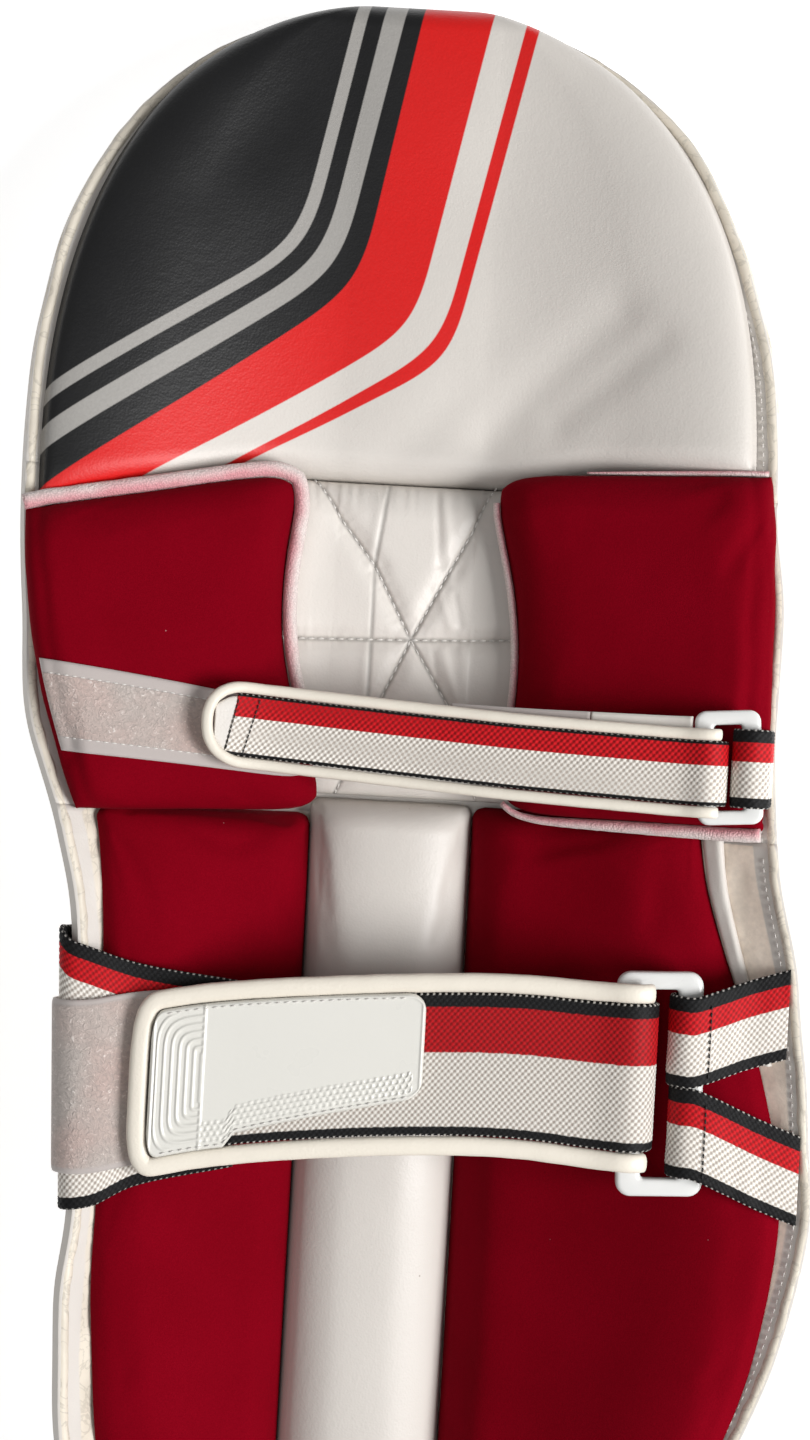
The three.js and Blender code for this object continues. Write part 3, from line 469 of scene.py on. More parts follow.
def inside_share(x, y):
    """One below the knee inside the turned edge, and nothing elsewhere."""
    if not INSTEP_Y < y < KNEE_FOOT_Y:
        return 0.0
    inset = width_of(y)[int(x > 0)] - abs(x)
    return held((inset - TURNED_EDGE) / 1.5 + 0.5)


def joint_gather(x, y, reach):
    """Puckers of the cover beside the rim, where the plates are sewn to one another."""
    near = sum(bell(y - joint, 9) for joint in (KNEE_TOP_Y, KNEE_FOOT_Y))
    return JOINT_GATHER * near * (abs(x) / reach) ** 8 * wobble(x / 12, y / 2.6, 5)


def rim_line(places, side, rise):
    """The middle line of the roll on the rim, a little inside the plate's edge."""
    line = []
    for step, (x, y) in enumerate(places):
        t = rise * step / (len(places) - 1)
        inset = side * RIM_ROLL_INSET * (1 - 0.4 * t)
        line.append(on_trough(x - inset, y - RIM_ROLL_INSET * t, -RIM_WALL / 2))
    return line


def lining_mark(x, y):
    """Above nothing for the outer side's cloth lining, and below it for the inner side's leathercloth."""
    return math.copysign(inside_share(x, y), x)


plates = (  # name, node, outline, thickness, rows of faces, seed of the rim's ruffle
    ("shell_top_hat", "top_hat_shell", top_hat_plan, top_hat_wall, 66, 1),
    ("shell_knee", "knee_shell", plain_plan(KNEE_FOOT_Y, KNEE_TOP_Y), shell_wall, 44, 3),
    ("shell_shin", "shin_shell", plain_plan(INSTEP_Y, KNEE_FOOT_Y), shell_wall, 103, 1),
    ("shell_instep", "instep_shell", instep_plan, instep_wall, 18, 2),
)
rim_stitches = bmesh.new()
for name, node, plan, thickness, rows, seed in plates:
    bm = blank()

    def inner_face(s, t):
        x, y = plan(s, t)
        loose = LINING_WRINKLE * inside_share(x, y) * (1 if x > 0 else LOOSE_LEATHER)
        folds = wobble(x / 5, y / 24, 3) + 0.7 * wobble(x / 9, y / 7, 6)
        return on_trough(x, y, loose * folds + joint_gather(x, y, width_of(y)[int(x > 0)]))

    def outer_face(s, t):
        x, y = plan(s, t)
        return on_trough(x, y, -thickness(x, y))

    slab(bm, SHELL_COLUMNS, rows, outer_face, inner_face, lambda s, t: lining_mark(*plan(s, t)))
    fine = 2 * rows
    rise = 1 if node == "top_hat_shell" else 0
    left = rim_line([plan(0, step / fine) for step in range(fine + 1)], -1, rise)
    right = rim_line([plan(1, step / fine) for step in range(fine + 1)], 1, rise)
    if node == "top_hat_shell":
        rims = [left + right[::-1]]
    elif node == "instep_shell":
        under = [on_trough(*plan(step / 40, 0), -RIM_WALL) for step in range(1, 40)]
        rims = [left[::-1] + under + right]
    else:
        rims = [left, right]
    for rim in rims:
        def ruffle(s, t):
            return 1 + 0.16 * wobble(math.cos(2 * math.pi * s), t * len(rim) / 4, seed)

        tube(bm, rim, RIM_ROLL_WIDE, RIM_ROLL_HIGH, swell=ruffle, mark=-1.0)
    settle(bm, name, shell_leather, "white_leather", [node])
    if node != "instep_shell":
        sewn = 0.99 if node == "shin_shell" else 0.8
        stitches = [plan(1, sewn * step / fine) for step in range(fine + 1)]
        seam = [on_trough(x - STITCH_INSET, y, 0.45) for x, y in stitches]
        sew(rim_stitches, seam, pitch=3.6, length=2.5, wide=0.6)
settle(rim_stitches, "rim_stitches", white_thread, "white_leather")


# Knee rolls and shin ribs: stuffed rolls of white leathercloth sewn side by side over the front.
# The pad lies on them, so their crests are pressed flat; seams run between neighbours.
def copy_of(node):
    """A CAD solid's mesh, with its loose triangles joined up and paired into four-sided faces."""
    made = bmesh.new()
    made.from_mesh(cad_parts[node].data)
    bmesh.ops.remove_doubles(made, verts=made.verts, dist=1e-6)
    bmesh.ops.join_triangles(made, faces=made.faces, angle_face_threshold=0.7, angle_shape_threshold=0.9)
    for face in made.faces:
        face.smooth = True
    return made


def smooth(piece, levels):
    """Rounds a piece's faces off."""
    smoother = piece.modifiers.new("smoother", "SUBSURF")
    smoother.levels = smoother.render_levels = levels


front_leather = leather("front_leathercloth", dimmed(LEATHER_WHITE, 0.97))
front_nodes = [f"knee_roll_{part}" for part in ("lower", "middle", "upper")]
front_nodes += [f"shin_rib_{number}" for number in range(1, 8)]
for node in front_nodes:
    bm = copy_of(node)
    bmesh.ops.scale(bm, verts=bm.verts, vec=(1 / MM, 1 / MM, 1 / MM))
    bmesh.ops.translate(bm, verts=bm.verts, vec=(-AXIS_X, 0, 0))
    name = node.replace("knee_", "front_").replace("shin_", "front_")
    smooth(settle(bm, name, front_leather, "white_leather", [node]), 2)


# Top-hat panel: the padded lining of the round top, white leathercloth over foam.
# Broad bands of black, silver and red are printed on it and bend downwards to the left.
PANEL_THICK, PANEL_EDGE, PANEL_ROUND, PANEL_END_ROUND = 17, 4, 0.14, 0.06
PANEL_INSET_LEFT, PANEL_INSET_RIGHT, PANEL_TOP_INSET, PANEL_TOP_GAP = 5.5, 8.2, 0.35, 1
PANEL_FOOT = 152
PANEL_RISE = {"from": 45, "over": 40, "by": 6.2}  # clears the outer wing
PANEL_DROP = {"from": -41.5, "foot": 157.5, "slope": 0.232}  # along the inner wing's tape
PANEL_DENTS = (  # from, to, half width, depth
    ((33, 171), (86, 219), 12, 1.9),
    ((64, 178), (102, 209), 8, 1.2),
    ((-96, 262), (-62, 300), 14, 0.8),
    ((-8, 158), (18, 186), 10, 0.9),
)
PRINT_BLACK, PRINT_SILVER = (0.006, 0.006, 0.0066, 1), (0.36, 0.345, 0.325, 1)
PRINT_RED = (0.66, 0.007, 0.006, 1)
BAND_BEND = 0.022
BAND_EDGES = (  # angle and offset of an edge's upper straight, of its lower one, and the colour past it
    (-11.12, -0.1045, -53.03, -0.2316, PRINT_SILVER),
    (-10.96, -0.0987, -52.94, -0.2265, PRINT_BLACK),
    (-11.08, -0.0929, -52.72, -0.2194, PRINT_SILVER),
    (-11.32, -0.0860, -52.42, -0.2116, PRINT_BLACK),
    (-10.34, -0.0733, -51.61, -0.2006, PRINT_RED),
    (-11.41, -0.0517, -56.32, -0.1831, None),
    (-11.93, -0.0411, -57.22, -0.1727, PRINT_RED),
    (-12.05, -0.0363, -59.82, -0.1708, None),
)


def panel_foot(x):
    """Lower edge of the panel: it rises beside the outer wing and drops along the inner one."""
    share = held((x - PANEL_RISE["from"]) / PANEL_RISE["over"])
    risen = PANEL_FOOT + PANEL_RISE["by"] * share**2 * (3 - 2 * share)
    return min(risen, PANEL_DROP["foot"] + PANEL_DROP["slope"] * (x - PANEL_DROP["from"]))


def plump(share, part):
    """Rounded profile from a seam at 0 to a seam at 1."""
    edge = min(share, 1 - share) / part
    return 1.0 if edge >= 1 else math.sqrt(max(0.0, 1 - (1 - edge) ** 2))


def crowd(share):
    """Spacing that crowds a grid's lines towards both seams."""
    return share - math.sin(2 * math.pi * share) / (2.6 * math.pi)


def from_line(x, y, start, end):
    """Distance of a place from a straight seam, and the place along it."""
    a, b, p = Vector(start), Vector(end), Vector((x, y))
    share = held((p - a).dot(b - a) / (b - a).length_squared)
    return (p - a.lerp(b, share)).length, share * (b - a).length


def near_line(x, y, start, end, wide):
    """One on a straight seam, fading to nothing beside it."""
    return bell(from_line(x, y, start, end)[0], wide)


def panel_plan(s, t):
    y = top_hat_y(t) - PANEL_TOP_GAP
    left, right = top_hat_halves(y)
    narrowing = mid(1, PANEL_TOP_INSET, t)
    x = mid(PANEL_INSET_LEFT * narrowing - left, right - PANEL_INSET_RIGHT * narrowing, crowd(s))
    return x, y + (panel_foot(x) - KNEE_TOP_Y) * (1 - t) ** 2


def panel_top(s, t):
    x, y = panel_plan(s, t)
    swell = plump(crowd(s), PANEL_ROUND) * plump(math.sin(t * math.pi / 2), PANEL_END_ROUND)
    dent = sum(deep * near_line(x, y, a, b, wide) for a, b, wide, deep in PANEL_DENTS)
    lump = 0.5 * wobble(x / 45, y / 45, 1)
    return on_trough(x, y, SEAT + PANEL_EDGE + (PANEL_THICK - PANEL_EDGE + lump - dent) * swell)


def printed(tree, spot, base):
    """The printed bands: each edge is two straights with a round bend between them."""
    x, y, _ = add(tree, "SeparateXYZ", {0: spot}).outputs
    worn = grain(tree, spot, 900, 2)

    def across(angle, offset):
        turned = sums(tree, "ADD", sums(tree, "MULTIPLY", x, math.cos(math.radians(angle))),
                      sums(tree, "MULTIPLY", y, math.sin(math.radians(angle))))
        return sums(tree, "SUBTRACT", turned, offset)

    colour = mix(tree, worn, dimmed(PRINT_BLACK, 0.8), dimmed(PRINT_BLACK, 1.5))
    for up, upper, down, lower, ink in BAND_EDGES:
        edge = sums(tree, "SMOOTH_MAX", across(up, upper), across(down, lower), BAND_BEND)
        past = between(tree, edge, -0.00025, 0.00025)
        tone = mix(tree, worn, dimmed(ink, 0.9), dimmed(ink, 1.08)) if ink else base
        colour = mix(tree, past, colour, tone)
    return colour


bm = blank()
slab(bm, 180, 140, lambda s, t: on_trough(*panel_plan(s, t), SEAT), panel_top)
panel_leather = leather("printed_leathercloth", LEATHER_WHITE, printed)
settle(bm, "top_hat_padding", panel_leather, "white_leather", ["top_hat_panel"])


# Knee locator: the quilted cushion in the knee hollow, soft white leathercloth over wadding.
# Two crossing seams and one straight across are sewn through it, and the cover puckers at them.
LOCATOR_HALF, LOCATOR_THICK, LOCATOR_EDGE, LOCATOR_ROUND, LOCATOR_FOOT = 66, 17, 5, 0.12, 22.6
QUILT_LINES = (
    ((-40, 151), (-12, 116.3), (4, 87.1), (22, 59), (36, 22)),
    ((37, 152), (19.2, 117.7), (4, 87.1), (-8, 60), (-24, 22)),
    ((-66, 84.6), (4, 87.1), (66, 89.8)),
)
QUILT_SEAMS = [seam for line in QUILT_LINES for seam in zip(line, line[1:])]
QUILT_SINK, QUILT_WIDE, QUILT_CUT, QUILT_CUT_WIDE = 1.9, 4.2, 1.3, 0.8
QUILT_FOLDS = (  # from, to, half width, rise
    ((-7.8, 149.5), (-12.1, 117.5), 0.9, -0.7),
    ((-9.8, 149.5), (-14.6, 117.5), 2.2, 0.4),
    ((-12.1, 117.5), (-12.0, 87), 0.8, -0.5),
    ((-12.0, 85), (-11.9, 50), 0.9, -0.6),
    ((-14.2, 84), (-14.2, 52), 2.2, 0.4),
    ((14.7, 148), (18.8, 112), 2.0, 0.6),
    ((11.5, 148), (14.0, 118), 1.5, -0.5),
    ((14.0, 108), (20.0, 93), 2.0, 0.6),
    ((21.0, 106), (24.0, 94), 1.5, -0.5),
    ((17.3, 84), (24.0, 62), 2.0, 0.7),
    ((13.5, 82), (16.5, 66), 1.5, -0.5),
    ((26.0, 84), (27.0, 56), 2.6, 0.7),
)
# Painted shade: the seams and narrow creases of the cover are darkened, and so is its right side, as if the
# right wing shaded it.
SHADE_FROM, SHADE_TO, SHADE_SHARE, SEAM_SHADE_WIDE = 14, 30, 0.6, 0.9


def locator_plan(s, t):
    x = mid(-LOCATOR_HALF, LOCATOR_HALF, s)
    return x, mid(LOCATOR_FOOT, panel_foot(x) - 2 * SEAT, t)


def locator_top(x, y):
    s = (x + LOCATOR_HALF) / (2 * LOCATOR_HALF)
    t = (y - LOCATOR_FOOT) / (panel_foot(x) - 2 * SEAT - LOCATOR_FOOT)
    swell = plump(s, LOCATOR_ROUND) * plump(t, LOCATOR_ROUND)
    seams = [from_line(x, y, *seam) for seam in QUILT_SEAMS]
    gap, along = min(seams)
    clear = math.prod(1 - bell(away, QUILT_WIDE) for away, _ in seams)
    sunk = QUILT_SINK * (1 - clear) + QUILT_CUT * bell(gap, QUILT_CUT_WIDE)
    pucker = 0.4 * math.exp(-gap / 3) * wobble(along / 2.6, gap / 9, 7)
    fold = sum(rise * near_line(x, y, a, b, wide) for a, b, wide, rise in QUILT_FOLDS)
    gather = 0.8 * max(0.0, 1 - (1 - t) / 0.11) * wobble(x / 3.2, t * 2, 2)
    lump = 0.35 * wobble(x / 16, y / 22, 4)
    thick = LOCATOR_EDGE + (LOCATOR_THICK - LOCATOR_EDGE) * swell
    return on_trough(x, y, SEAT + thick + (fold + pucker + lump - sunk) * swell + gather)


def locator_shade(s, t):
    """Painted shade on the cover at a place: most in its seam grooves and creases, and more towards the
    right, as if under the right wing's shade.
    """
    x, y = locator_plan(s, t)
    seam = max(near_line(x, y, a, b, SEAM_SHADE_WIDE) for a, b in QUILT_SEAMS)
    crease = max(near_line(x, y, a, b, wide) for a, b, wide, rise in QUILT_FOLDS if rise < 0 and wide < 1)
    wing_shade = (x - SHADE_FROM) / (SHADE_TO - SHADE_FROM)
    return max(seam, crease, SHADE_SHARE * held(wing_shade))


def groove_shaded(tree, spot, base):
    """Painted shade in the seams and creases of the cover and towards its right side, by the mark on its
    points.
    """
    return mix(tree, between(tree, marks(tree)[2], 0.1, 1.0, 0.0, 0.6), base, dimmed(LEATHER_WHITE, 0.35))


bm = blank()
slab(bm, 216, 206, lambda s, t: on_trough(*locator_plan(s, t), SEAT),
     lambda s, t: locator_top(*locator_plan(s, t)), locator_shade)
quilted_leather = leather("quilted_leathercloth", dimmed(LEATHER_WHITE, 1.08), groove_shaded)
settle(bm, "knee_cushion", quilted_leather, "white_leather", ["knee_locator"])
bm = bmesh.new()
for start, end in QUILT_SEAMS:
    a, b = Vector(start), Vector(end)
    steps = int((b - a).length)
    seam = [locator_top(*a.lerp(b, step / steps)) + Vector((0, 0, 0.3)) for step in range(steps + 1)]
    sew(bm, seam, pitch=4.0, length=3.0, wide=0.9)
settle(bm, "knee_cushion_stitches", white_thread, "white_leather")


# Shin bolsters: three long cushions down the shin, foam in red brushed stretch cloth at the sides
# and in white leathercloth in the middle. The covers are blown up as cloth, so they pull tight.
# A white leathercloth strip is sewn beside the top of the outer one.
PAD_PRESSURE, PAD_FRAMES, PAD_LIP = 4.0, 20, 3.0
BOLSTER_CAP, BOLSTER_CLEAR, BOLSTER_CORNER = 0.0012, 0.0025, 5
BOLSTER_FOOT, BOLSTER_INNER, CENTRE_HALF, CENTRE_DOME = -326, 33.95, 33.75, 2.35
BOLSTER_END_ROUND = 12
FABRIC_RED = (0.19, 0.0001, 0.006, 1)
FABRIC_LIGHT = (0.24, 0.0004, 0.009, 1)
LINT_PINK, NAP_TINT = (0.6, 0.35, 0.35, 1), (1, 0.2, 0.25, 1)
BACKING_FOOT_WIDE, BACKING_TOP_WIDE, BACKING_THICK, BACKING_FOOT, BACKING_TOP = 3.5, 7, 2.4, -70, 15.5
LINING = (  # place along the leg: gap between the bolsters and the rim, to the left and right
    (-348, 10, 4), (-210, 11, 4), (-150, 8, 8), (-100, 7, 11), (-60, 7.5, 17), (-30, 8, 23), (15, 12, 25),
)


def bake(piece):
    """Applies what a piece's modifiers have made of it."""
    made = bpy.data.meshes.new_from_object(piece.evaluated_get(bpy.context.evaluated_depsgraph_get()))
    piece.modifiers.clear()
    piece.data = made


def swollen(bm, node, name, look, slot, cap, clear, crease=None):
    """A sewn pad: its slab is blown up as cloth on its fixed bed, by up to the cap and close to its node."""
    solid = BVHTree.FromBMesh(copy_of(node))
    piece = settle(bm, name, look, slot, [node])
    start = [vert.co.copy() for vert in piece.data.vertices]
    bed = piece.vertex_groups.new(name="bed")
    bed.add([vert.index for vert in piece.data.vertices if vert.normal.z < 0.05], 1.0, "ADD")
    cloth = piece.modifiers.new("cloth", "CLOTH")
    cloth.settings.use_pressure = True
    cloth.settings.uniform_pressure_force = PAD_PRESSURE
    cloth.settings.vertex_group_mass = "bed"
    cloth.settings.effector_weights.gravity = 0
    cloth.point_cache.frame_end = PAD_FRAMES
    for number in range(1, PAD_FRAMES + 1):
        scene.frame_set(number)
    bake(piece)
    scene.frame_set(1)
    for vert, first in zip(piece.data.vertices, start):
        moved = vert.co - first
        if moved.length > cap:
            vert.co = first + moved.normalized() * cap
        near, normal = solid.find_nearest(vert.co)[:2]
        proud = (vert.co - near).dot(normal)
        if proud > clear:
            vert.co -= normal * (proud - clear)
        if crease:
            vert.co += vert.normal * (MM * crease(vert.co.x / MM - AXIS_X, vert.co.y / MM, vert.normal))
    smooth(piece, 1)
    return piece


def brushed(name):
    """Brushed stretch cloth: a soft nap that is lighter at the turns, with flecks of lint."""
    look, tree, shader, spot = new_look(name, Sheen_Weight=0.02, Sheen_Roughness=0.4, Sheen_Tint=NAP_TINT,
                                        Specular_IOR_Level=0.03)
    nap = grain(tree, spot, 2200, 3)
    cloud = grain(tree, spot, 22, 4)
    base = mix(tree, between(tree, cloud, 0.3, 0.7, 0.0, 0.6), FABRIC_RED, FABRIC_LIGHT)
    base = mix(tree, between(tree, nap, 0.3, 0.7, 0.0, 0.5), base, dimmed(FABRIC_RED, 0.6))
    cells = add(tree, "TexVoronoi", {"Vector": spot, "Scale": 95})
    chance = add(tree, "SeparateColor", {0: cells.outputs["Color"]}).outputs[1]
    specks = between(tree, cells.outputs["Distance"], 0.03, 0.02, 0.0, 0.45)
    lint = sums(tree, "MULTIPLY", sums(tree, "GREATER_THAN", chance, 0.86), specks)
    base = mix(tree, lint, base, LINT_PINK)
    wire(tree, shader, base, between(tree, nap, 0.2, 0.8, 0.75, 0.95), nap, 0.00012)
    return look


red_fabric = brushed("red_brushed_cloth")
bolster_leather = leather("bolster_leathercloth", dimmed(LEATHER_WHITE, 0.93))
lining_of = eased(LINING)


def dome(s):
    """Smooth round profile across the middle bolster."""
    return (1 - abs(2 * s - 1) ** CENTRE_DOME) ** (1 / CENTRE_DOME)


bolsters = (  # name, node, look, slot, span across at a height, top, thickness, profile across
    ("bolster_left", "shin_bolster_left", red_fabric, "red_fabric",
     lambda y: (lining_of(y)[0] - width_of(y)[0], -BOLSTER_INNER), 14.4, 22,
     lambda s: plump(s, 0.3) * (0.7 + 0.3 * s)),
    ("bolster_right", "shin_bolster_right", red_fabric, "red_fabric",
     lambda y: (BOLSTER_INNER, width_of(y)[1] - lining_of(y)[1]), 20.5, 22,
     lambda s: plump(s, 0.3) * (1 - 0.3 * s)),
    ("bolster_centre", "shin_bolster_centre", bolster_leather, "white_leather",
     lambda y: (-CENTRE_HALF, CENTRE_HALF), 21, 23, dome),
)
for name, node, look, slot, span, top, thick, profile in bolsters:
    def bolster_plan(s, t):
        y = mid(BOLSTER_FOOT, top, crowd(t))
        near = min(BOLSTER_CORNER, max(0.0, BOLSTER_CORNER - (top - y)))
        corner = BOLSTER_CORNER - math.sqrt(BOLSTER_CORNER**2 - near**2)
        inner, outer = span(y)
        return mid(inner + corner, outer - corner, crowd(s)), y

    def bolster_top(s, t):
        swell = profile(crowd(s)) * plump(crowd(t), BOLSTER_END_ROUND / (top - BOLSTER_FOOT))
        return on_trough(*bolster_plan(s, t), SEAT + PAD_LIP + (thick - PAD_LIP) * swell)

    bm = blank()
    slab(bm, 36, 110, lambda s, t: on_trough(*bolster_plan(s, t), SEAT), bolster_top)
    swollen(bm, node, name, look, slot, BOLSTER_CAP, BOLSTER_CLEAR)


def backing_plan(s, t):
    y = mid(BACKING_FOOT, BACKING_TOP, t)
    wide = mid(BACKING_FOOT_WIDE, BACKING_TOP_WIDE, t)
    return width_of(y)[1] - lining_of(y)[1] + SEAT + s * wide, y


def backing_top(s, t):
    x, y = backing_plan(s, t)
    wave = 0.5 * wobble(x / 6, y / 12, 8)
    return on_trough(x, y, SEAT + BACKING_THICK * (0.45 + 0.55 * plump(s, 0.3)) + wave)


bm = blank()
slab(bm, 10, 60, lambda s, t: on_trough(*backing_plan(s, t), SEAT), backing_top)
settle(bm, "bolster_edge_strip", white_leather, "white_leather", ["bolster_edge_right"])


# Knee wings: two red padded flaps beside the knee, foam in the same stretch cloth as the bolsters.
# Their outer edges are fixed to the shell's rim, and a pale knitted tape binds the edges that show.
WING_LEFT = {"outer_top": (-147, 128), "outer_foot": (-121, 13.5), "outer_bow": 5,
             "inner_top": (-41.5, 152.5), "inner_foot": (-24, 17), "inner_bow": 14.5}
WING_RIGHT = {"outer_top": (140, 157), "outer_foot": (141.8, 20), "outer_bow": 0,
              "inner_top": (31.5, 154.5), "inner_foot": (41, 20), "inner_bow": -11}
WING_THICK, WING_ROUND, WING_END_ROUND, WING_CAP, WING_CLEAR = 17, 0.16, 0.14, 0.006, 0.0004
WING_SEAT, WING_INNER_Z, WING_CORNER_ROUND, WING_CORNER_POWER = 1.1, 43.8, 0.15, 8
TAPE_LEFT, TAPE_WIDE, TAPE_NARROW, TAPE_THIN = 3.1, 2.4, 1.4, 0.9
TAPE_HIGH, TAPE_LIFT, TAPE_SEAT = 3.4, 3.6, 0.1
TAPE_PINK, TAPE_WHITE = (0.74, 0.34, 0.37, 1), (0.80, 0.70, 0.67, 1)


def wing_under(wing, s_even, t_even):
    """Underside of a wing with round inner corners, from its outer to its inner edge and from its foot up."""
    u, v = 2 * s_even - 1, 2 * t_even - 1
    corner = WING_CORNER_ROUND if u > 0 else 0
    s = 0.5 + 0.5 * u * math.sqrt(1 - corner * v**WING_CORNER_POWER)
    t = 0.5 + 0.5 * v * math.sqrt(1 - corner * u**WING_CORNER_POWER)
    outer = Vector(wing["outer_foot"]).lerp(Vector(wing["outer_top"]), t)
    inner = Vector(wing["inner_foot"]).lerp(Vector(wing["inner_top"]), t)
    outer.x -= wing["outer_bow"] * math.sin(math.pi * t)
    inner.x -= wing["inner_bow"] * math.sin(math.pi * t)
    return Vector((*outer.lerp(inner, s), mid(trough(*outer) + WING_SEAT, WING_INNER_Z, s)))


def wing_crease(wing, seed, spill):
    """Folds along a wing's outer edge, where the cover spills over the seam, and a slight unevenness."""
    foot, top = Vector(wing["outer_foot"]), Vector(wing["outer_top"])
    side = -1 if foot.x < 0 else 1

    def crease(x, y, normal):
        t = held((y - foot.y) / (top.y - foot.y))
        inset = side * (mid(foot.x, top.x, t) - wing["outer_bow"] * math.sin(math.pi * t) - x)
        wander = 2.0 * wobble(y / 22, seed, 0)
        fold = -1.3 * bell(inset - 7 - wander, 2.2)
        fold *= 0.6 + 0.6 * wobble(y / 30, seed, 4)
        over = spill * max(0.0, side * normal.x) * max(0.0, 1 - inset / 8)
        over *= 1 + 0.4 * wobble(y / 14, seed, 9)
        return fold * max(0.0, normal.z) + over + 0.35 * wobble(x / 24, y / 24, seed)

    return crease


def knitted(name):
    """Knitted tape: fine ribs along it, white outside and pink where the cloth beneath shines through."""
    look, tree, shader, spot = new_look(name, Sheen_Weight=0.2, Specular_IOR_Level=0.2)
    inwards = sums(tree, "COSINE", sums(tree, "MULTIPLY", marks(tree)[0], 2 * math.pi))
    ribs = add(tree, "TexVoronoi", {"Vector": spot, "Scale": 1250}).outputs["Distance"]
    cloud = grain(tree, spot, 60, 3)
    uneven = between(tree, cloud, 0.3, 0.7, -0.25, 0.25)
    pink = sums(tree, "ADD", between(tree, inwards, -0.8, 0.6), uneven)
    base = mix(tree, pink, TAPE_WHITE, TAPE_PINK)
    shade = mix(tree, pink, dimmed(TAPE_WHITE, 0.66), dimmed(TAPE_PINK, 0.66))
    base = mix(tree, between(tree, ribs, 0.2, 0.7, 0.0, 0.6), base, shade)
    wire(tree, shader, base, between(tree, ribs, 0.0, 1.0, 0.75, 0.9), ribs, -0.0003)
    return look


pale_tape = knitted("pale_knitted_tape")
wings = {}
for side, wing, seed, spill in (("left", WING_LEFT, 1.7, 0.8), ("right", WING_RIGHT, 5.2, 3.4)):
    def wing_top(s, t):
        swell = plump(s, WING_ROUND) * plump(t, WING_END_ROUND)
        return wing_under(wing, s, t) + Vector((0, 0, PAD_LIP + (WING_THICK - PAD_LIP) * swell))

    bm = blank()
    slab(bm, 48, 54, lambda s, t: wing_under(wing, crowd(s), crowd(t)),
         lambda s, t: wing_top(crowd(s), crowd(t)))
    wings[side] = swollen(bm, f"knee_wing_{side}", f"wing_{side}", red_fabric, "red_fabric",
                          WING_CAP, WING_CLEAR, wing_crease(wing, seed, spill))


def tape_path(wing, route, wide):
    """Middle line of a tape along a route of places on the wing's edge."""
    path = []
    for s, t in route:
        inside = wing_under(wing, min(max(s, 0.1), 0.9), min(max(t, 0.1), 0.9))
        out = wing_under(wing, s, t) - inside
        out.z = 0
        out = out.normalized() * (wide + TAPE_SEAT)
        path.append(wing_under(wing, s, t) + out + Vector((0, 0, TAPE_LIFT)))
    return path


def knit(s, t):
    """Slight unevenness of a knitted tape's thickness."""
    return 1 + 0.07 * wobble(math.cos(2 * math.pi * s), t * 34, 2)


edge_shares = [0.01 + 0.99 * step / 60 for step in range(61)]
bm = blank()
route = [(share, 1) for share in edge_shares] + [(1, 1 - share) for share in edge_shares[:-9]]
tube(bm, tape_path(WING_LEFT, route, TAPE_LEFT), TAPE_LEFT, TAPE_HIGH, sides=14,
     swell=lambda s, t: knit(s, t) * mid(1.05, 0.8, max(0.0, 2 * t - 1)))
settle(bm, "wing_tape_left", pale_tape, "pale_tape", ["wing_binding_left"])
bm = blank()
for route, wide, thin in (([(share, 0) for share in edge_shares], TAPE_WIDE, 0.5),
                          ([(1, share) for share in edge_shares[:-3]], TAPE_NARROW, 1),
                          ([(share, 1) for share in edge_shares[:40]], TAPE_THIN, 0.5)):
    tube(bm, tape_path(WING_RIGHT, route, wide), wide, TAPE_HIGH * wide / TAPE_WIDE, sides=14,
         swell=lambda s, t: knit(s, t) * mid(1.15, thin, t * t))
settle(bm, "wing_tape_right", pale_tape, "pale_tape", ["wing_binding_right"])


# Knee strap: striped woven webbing bound with cream leather, folded round a white plastic ring.
# A short anchor of the same webbing ties the ring to the outer rim, and fuzzy loop tape on the
# inner wing takes the free end.
KNEE_HALF, KNEE_THICK, KNEE_BINDING, KNEE_BINDING_HIGH = 12, 2.4, 2.2, 2.2
KNEE_LINE = ((-72.3, 50.2, 82.5), (-50, 48.6, 76.5), (0, 45.5, 79.5), (45, 43, 87.5), (80, 41.8, 94.5),
             (108, 41, 100.5))
KNEE_BACK = (106, 41.2, 96)
KNEE_RING = {"x": 126.2, "y": 43.5, "z": 98, "wide": 24.6, "high": 43, "bar": 7, "end_bar": 5.4, "thick": 5,
             "tilt": 0.07, "turn": 0.08}
KNEE_END_ROUND, KNEE_END_POWER, KNEE_OVER_RING, KNEE_WEBBING_START, KNEE_SLANT = 16, 0.85, 3.5, 9.5, 2.4
WEBBING_BLACK, WEBBING_RED = (0.007, 0.007, 0.008, 1), (0.60, 0.004, 0.010, 1)
WEBBING_WHITE = (0.88, 0.84, 0.78, 1)
CREAM = (0.80, 0.74, 0.64, 1)
LOOP_WHITE, LOOP_STRIP = (0.52, 0.46, 0.425, 1), (0.46, 0.41, 0.39, 1)
LOOP_ROSE, LOOP_SHINE = (0.56, 0.42, 0.38, 1), (0.8, 0.76, 0.72, 1)
RING_WHITE, THREAD_BLACK = (0.70, 0.70, 0.685, 1), (0.012, 0.012, 0.013, 1)
KNOT_LONG, KNOT_WIDE, KNOT_HIGH, WEBBING_STEP = 2.35, 2.6, 0.28, 0.55
KNOT_SHADE = (0.42, 0.38, 0.355, 1)


def run_through(points, steps=24):
    """Close points on a smooth curve through the given ones."""
    points = [Vector(point) for point in points]
    ends = [2 * points[0] - points[1], *points, 2 * points[-1] - points[-2]]
    line = []
    for a, b, c, d in zip(ends, ends[1:], ends[2:], ends[3:]):
        before, here, after = ((q - p).length ** 0.5 for p, q in ((a, b), (b, c), (c, d)))
        leave = here * ((b - a) / before - (c - a) / (before + here)) + (c - b)
        arrive = here * ((d - c) / after - (d - b) / (here + after)) + (c - b)
        for step in range(steps):
            t = step / steps
            line.append((2 * t**3 - 3 * t**2 + 1) * b + (t**3 - 2 * t**2 + t) * leave
                        + (3 * t**2 - 2 * t**3) * c + (t**3 - t**2) * arrive)
    return line + [points[-1]]


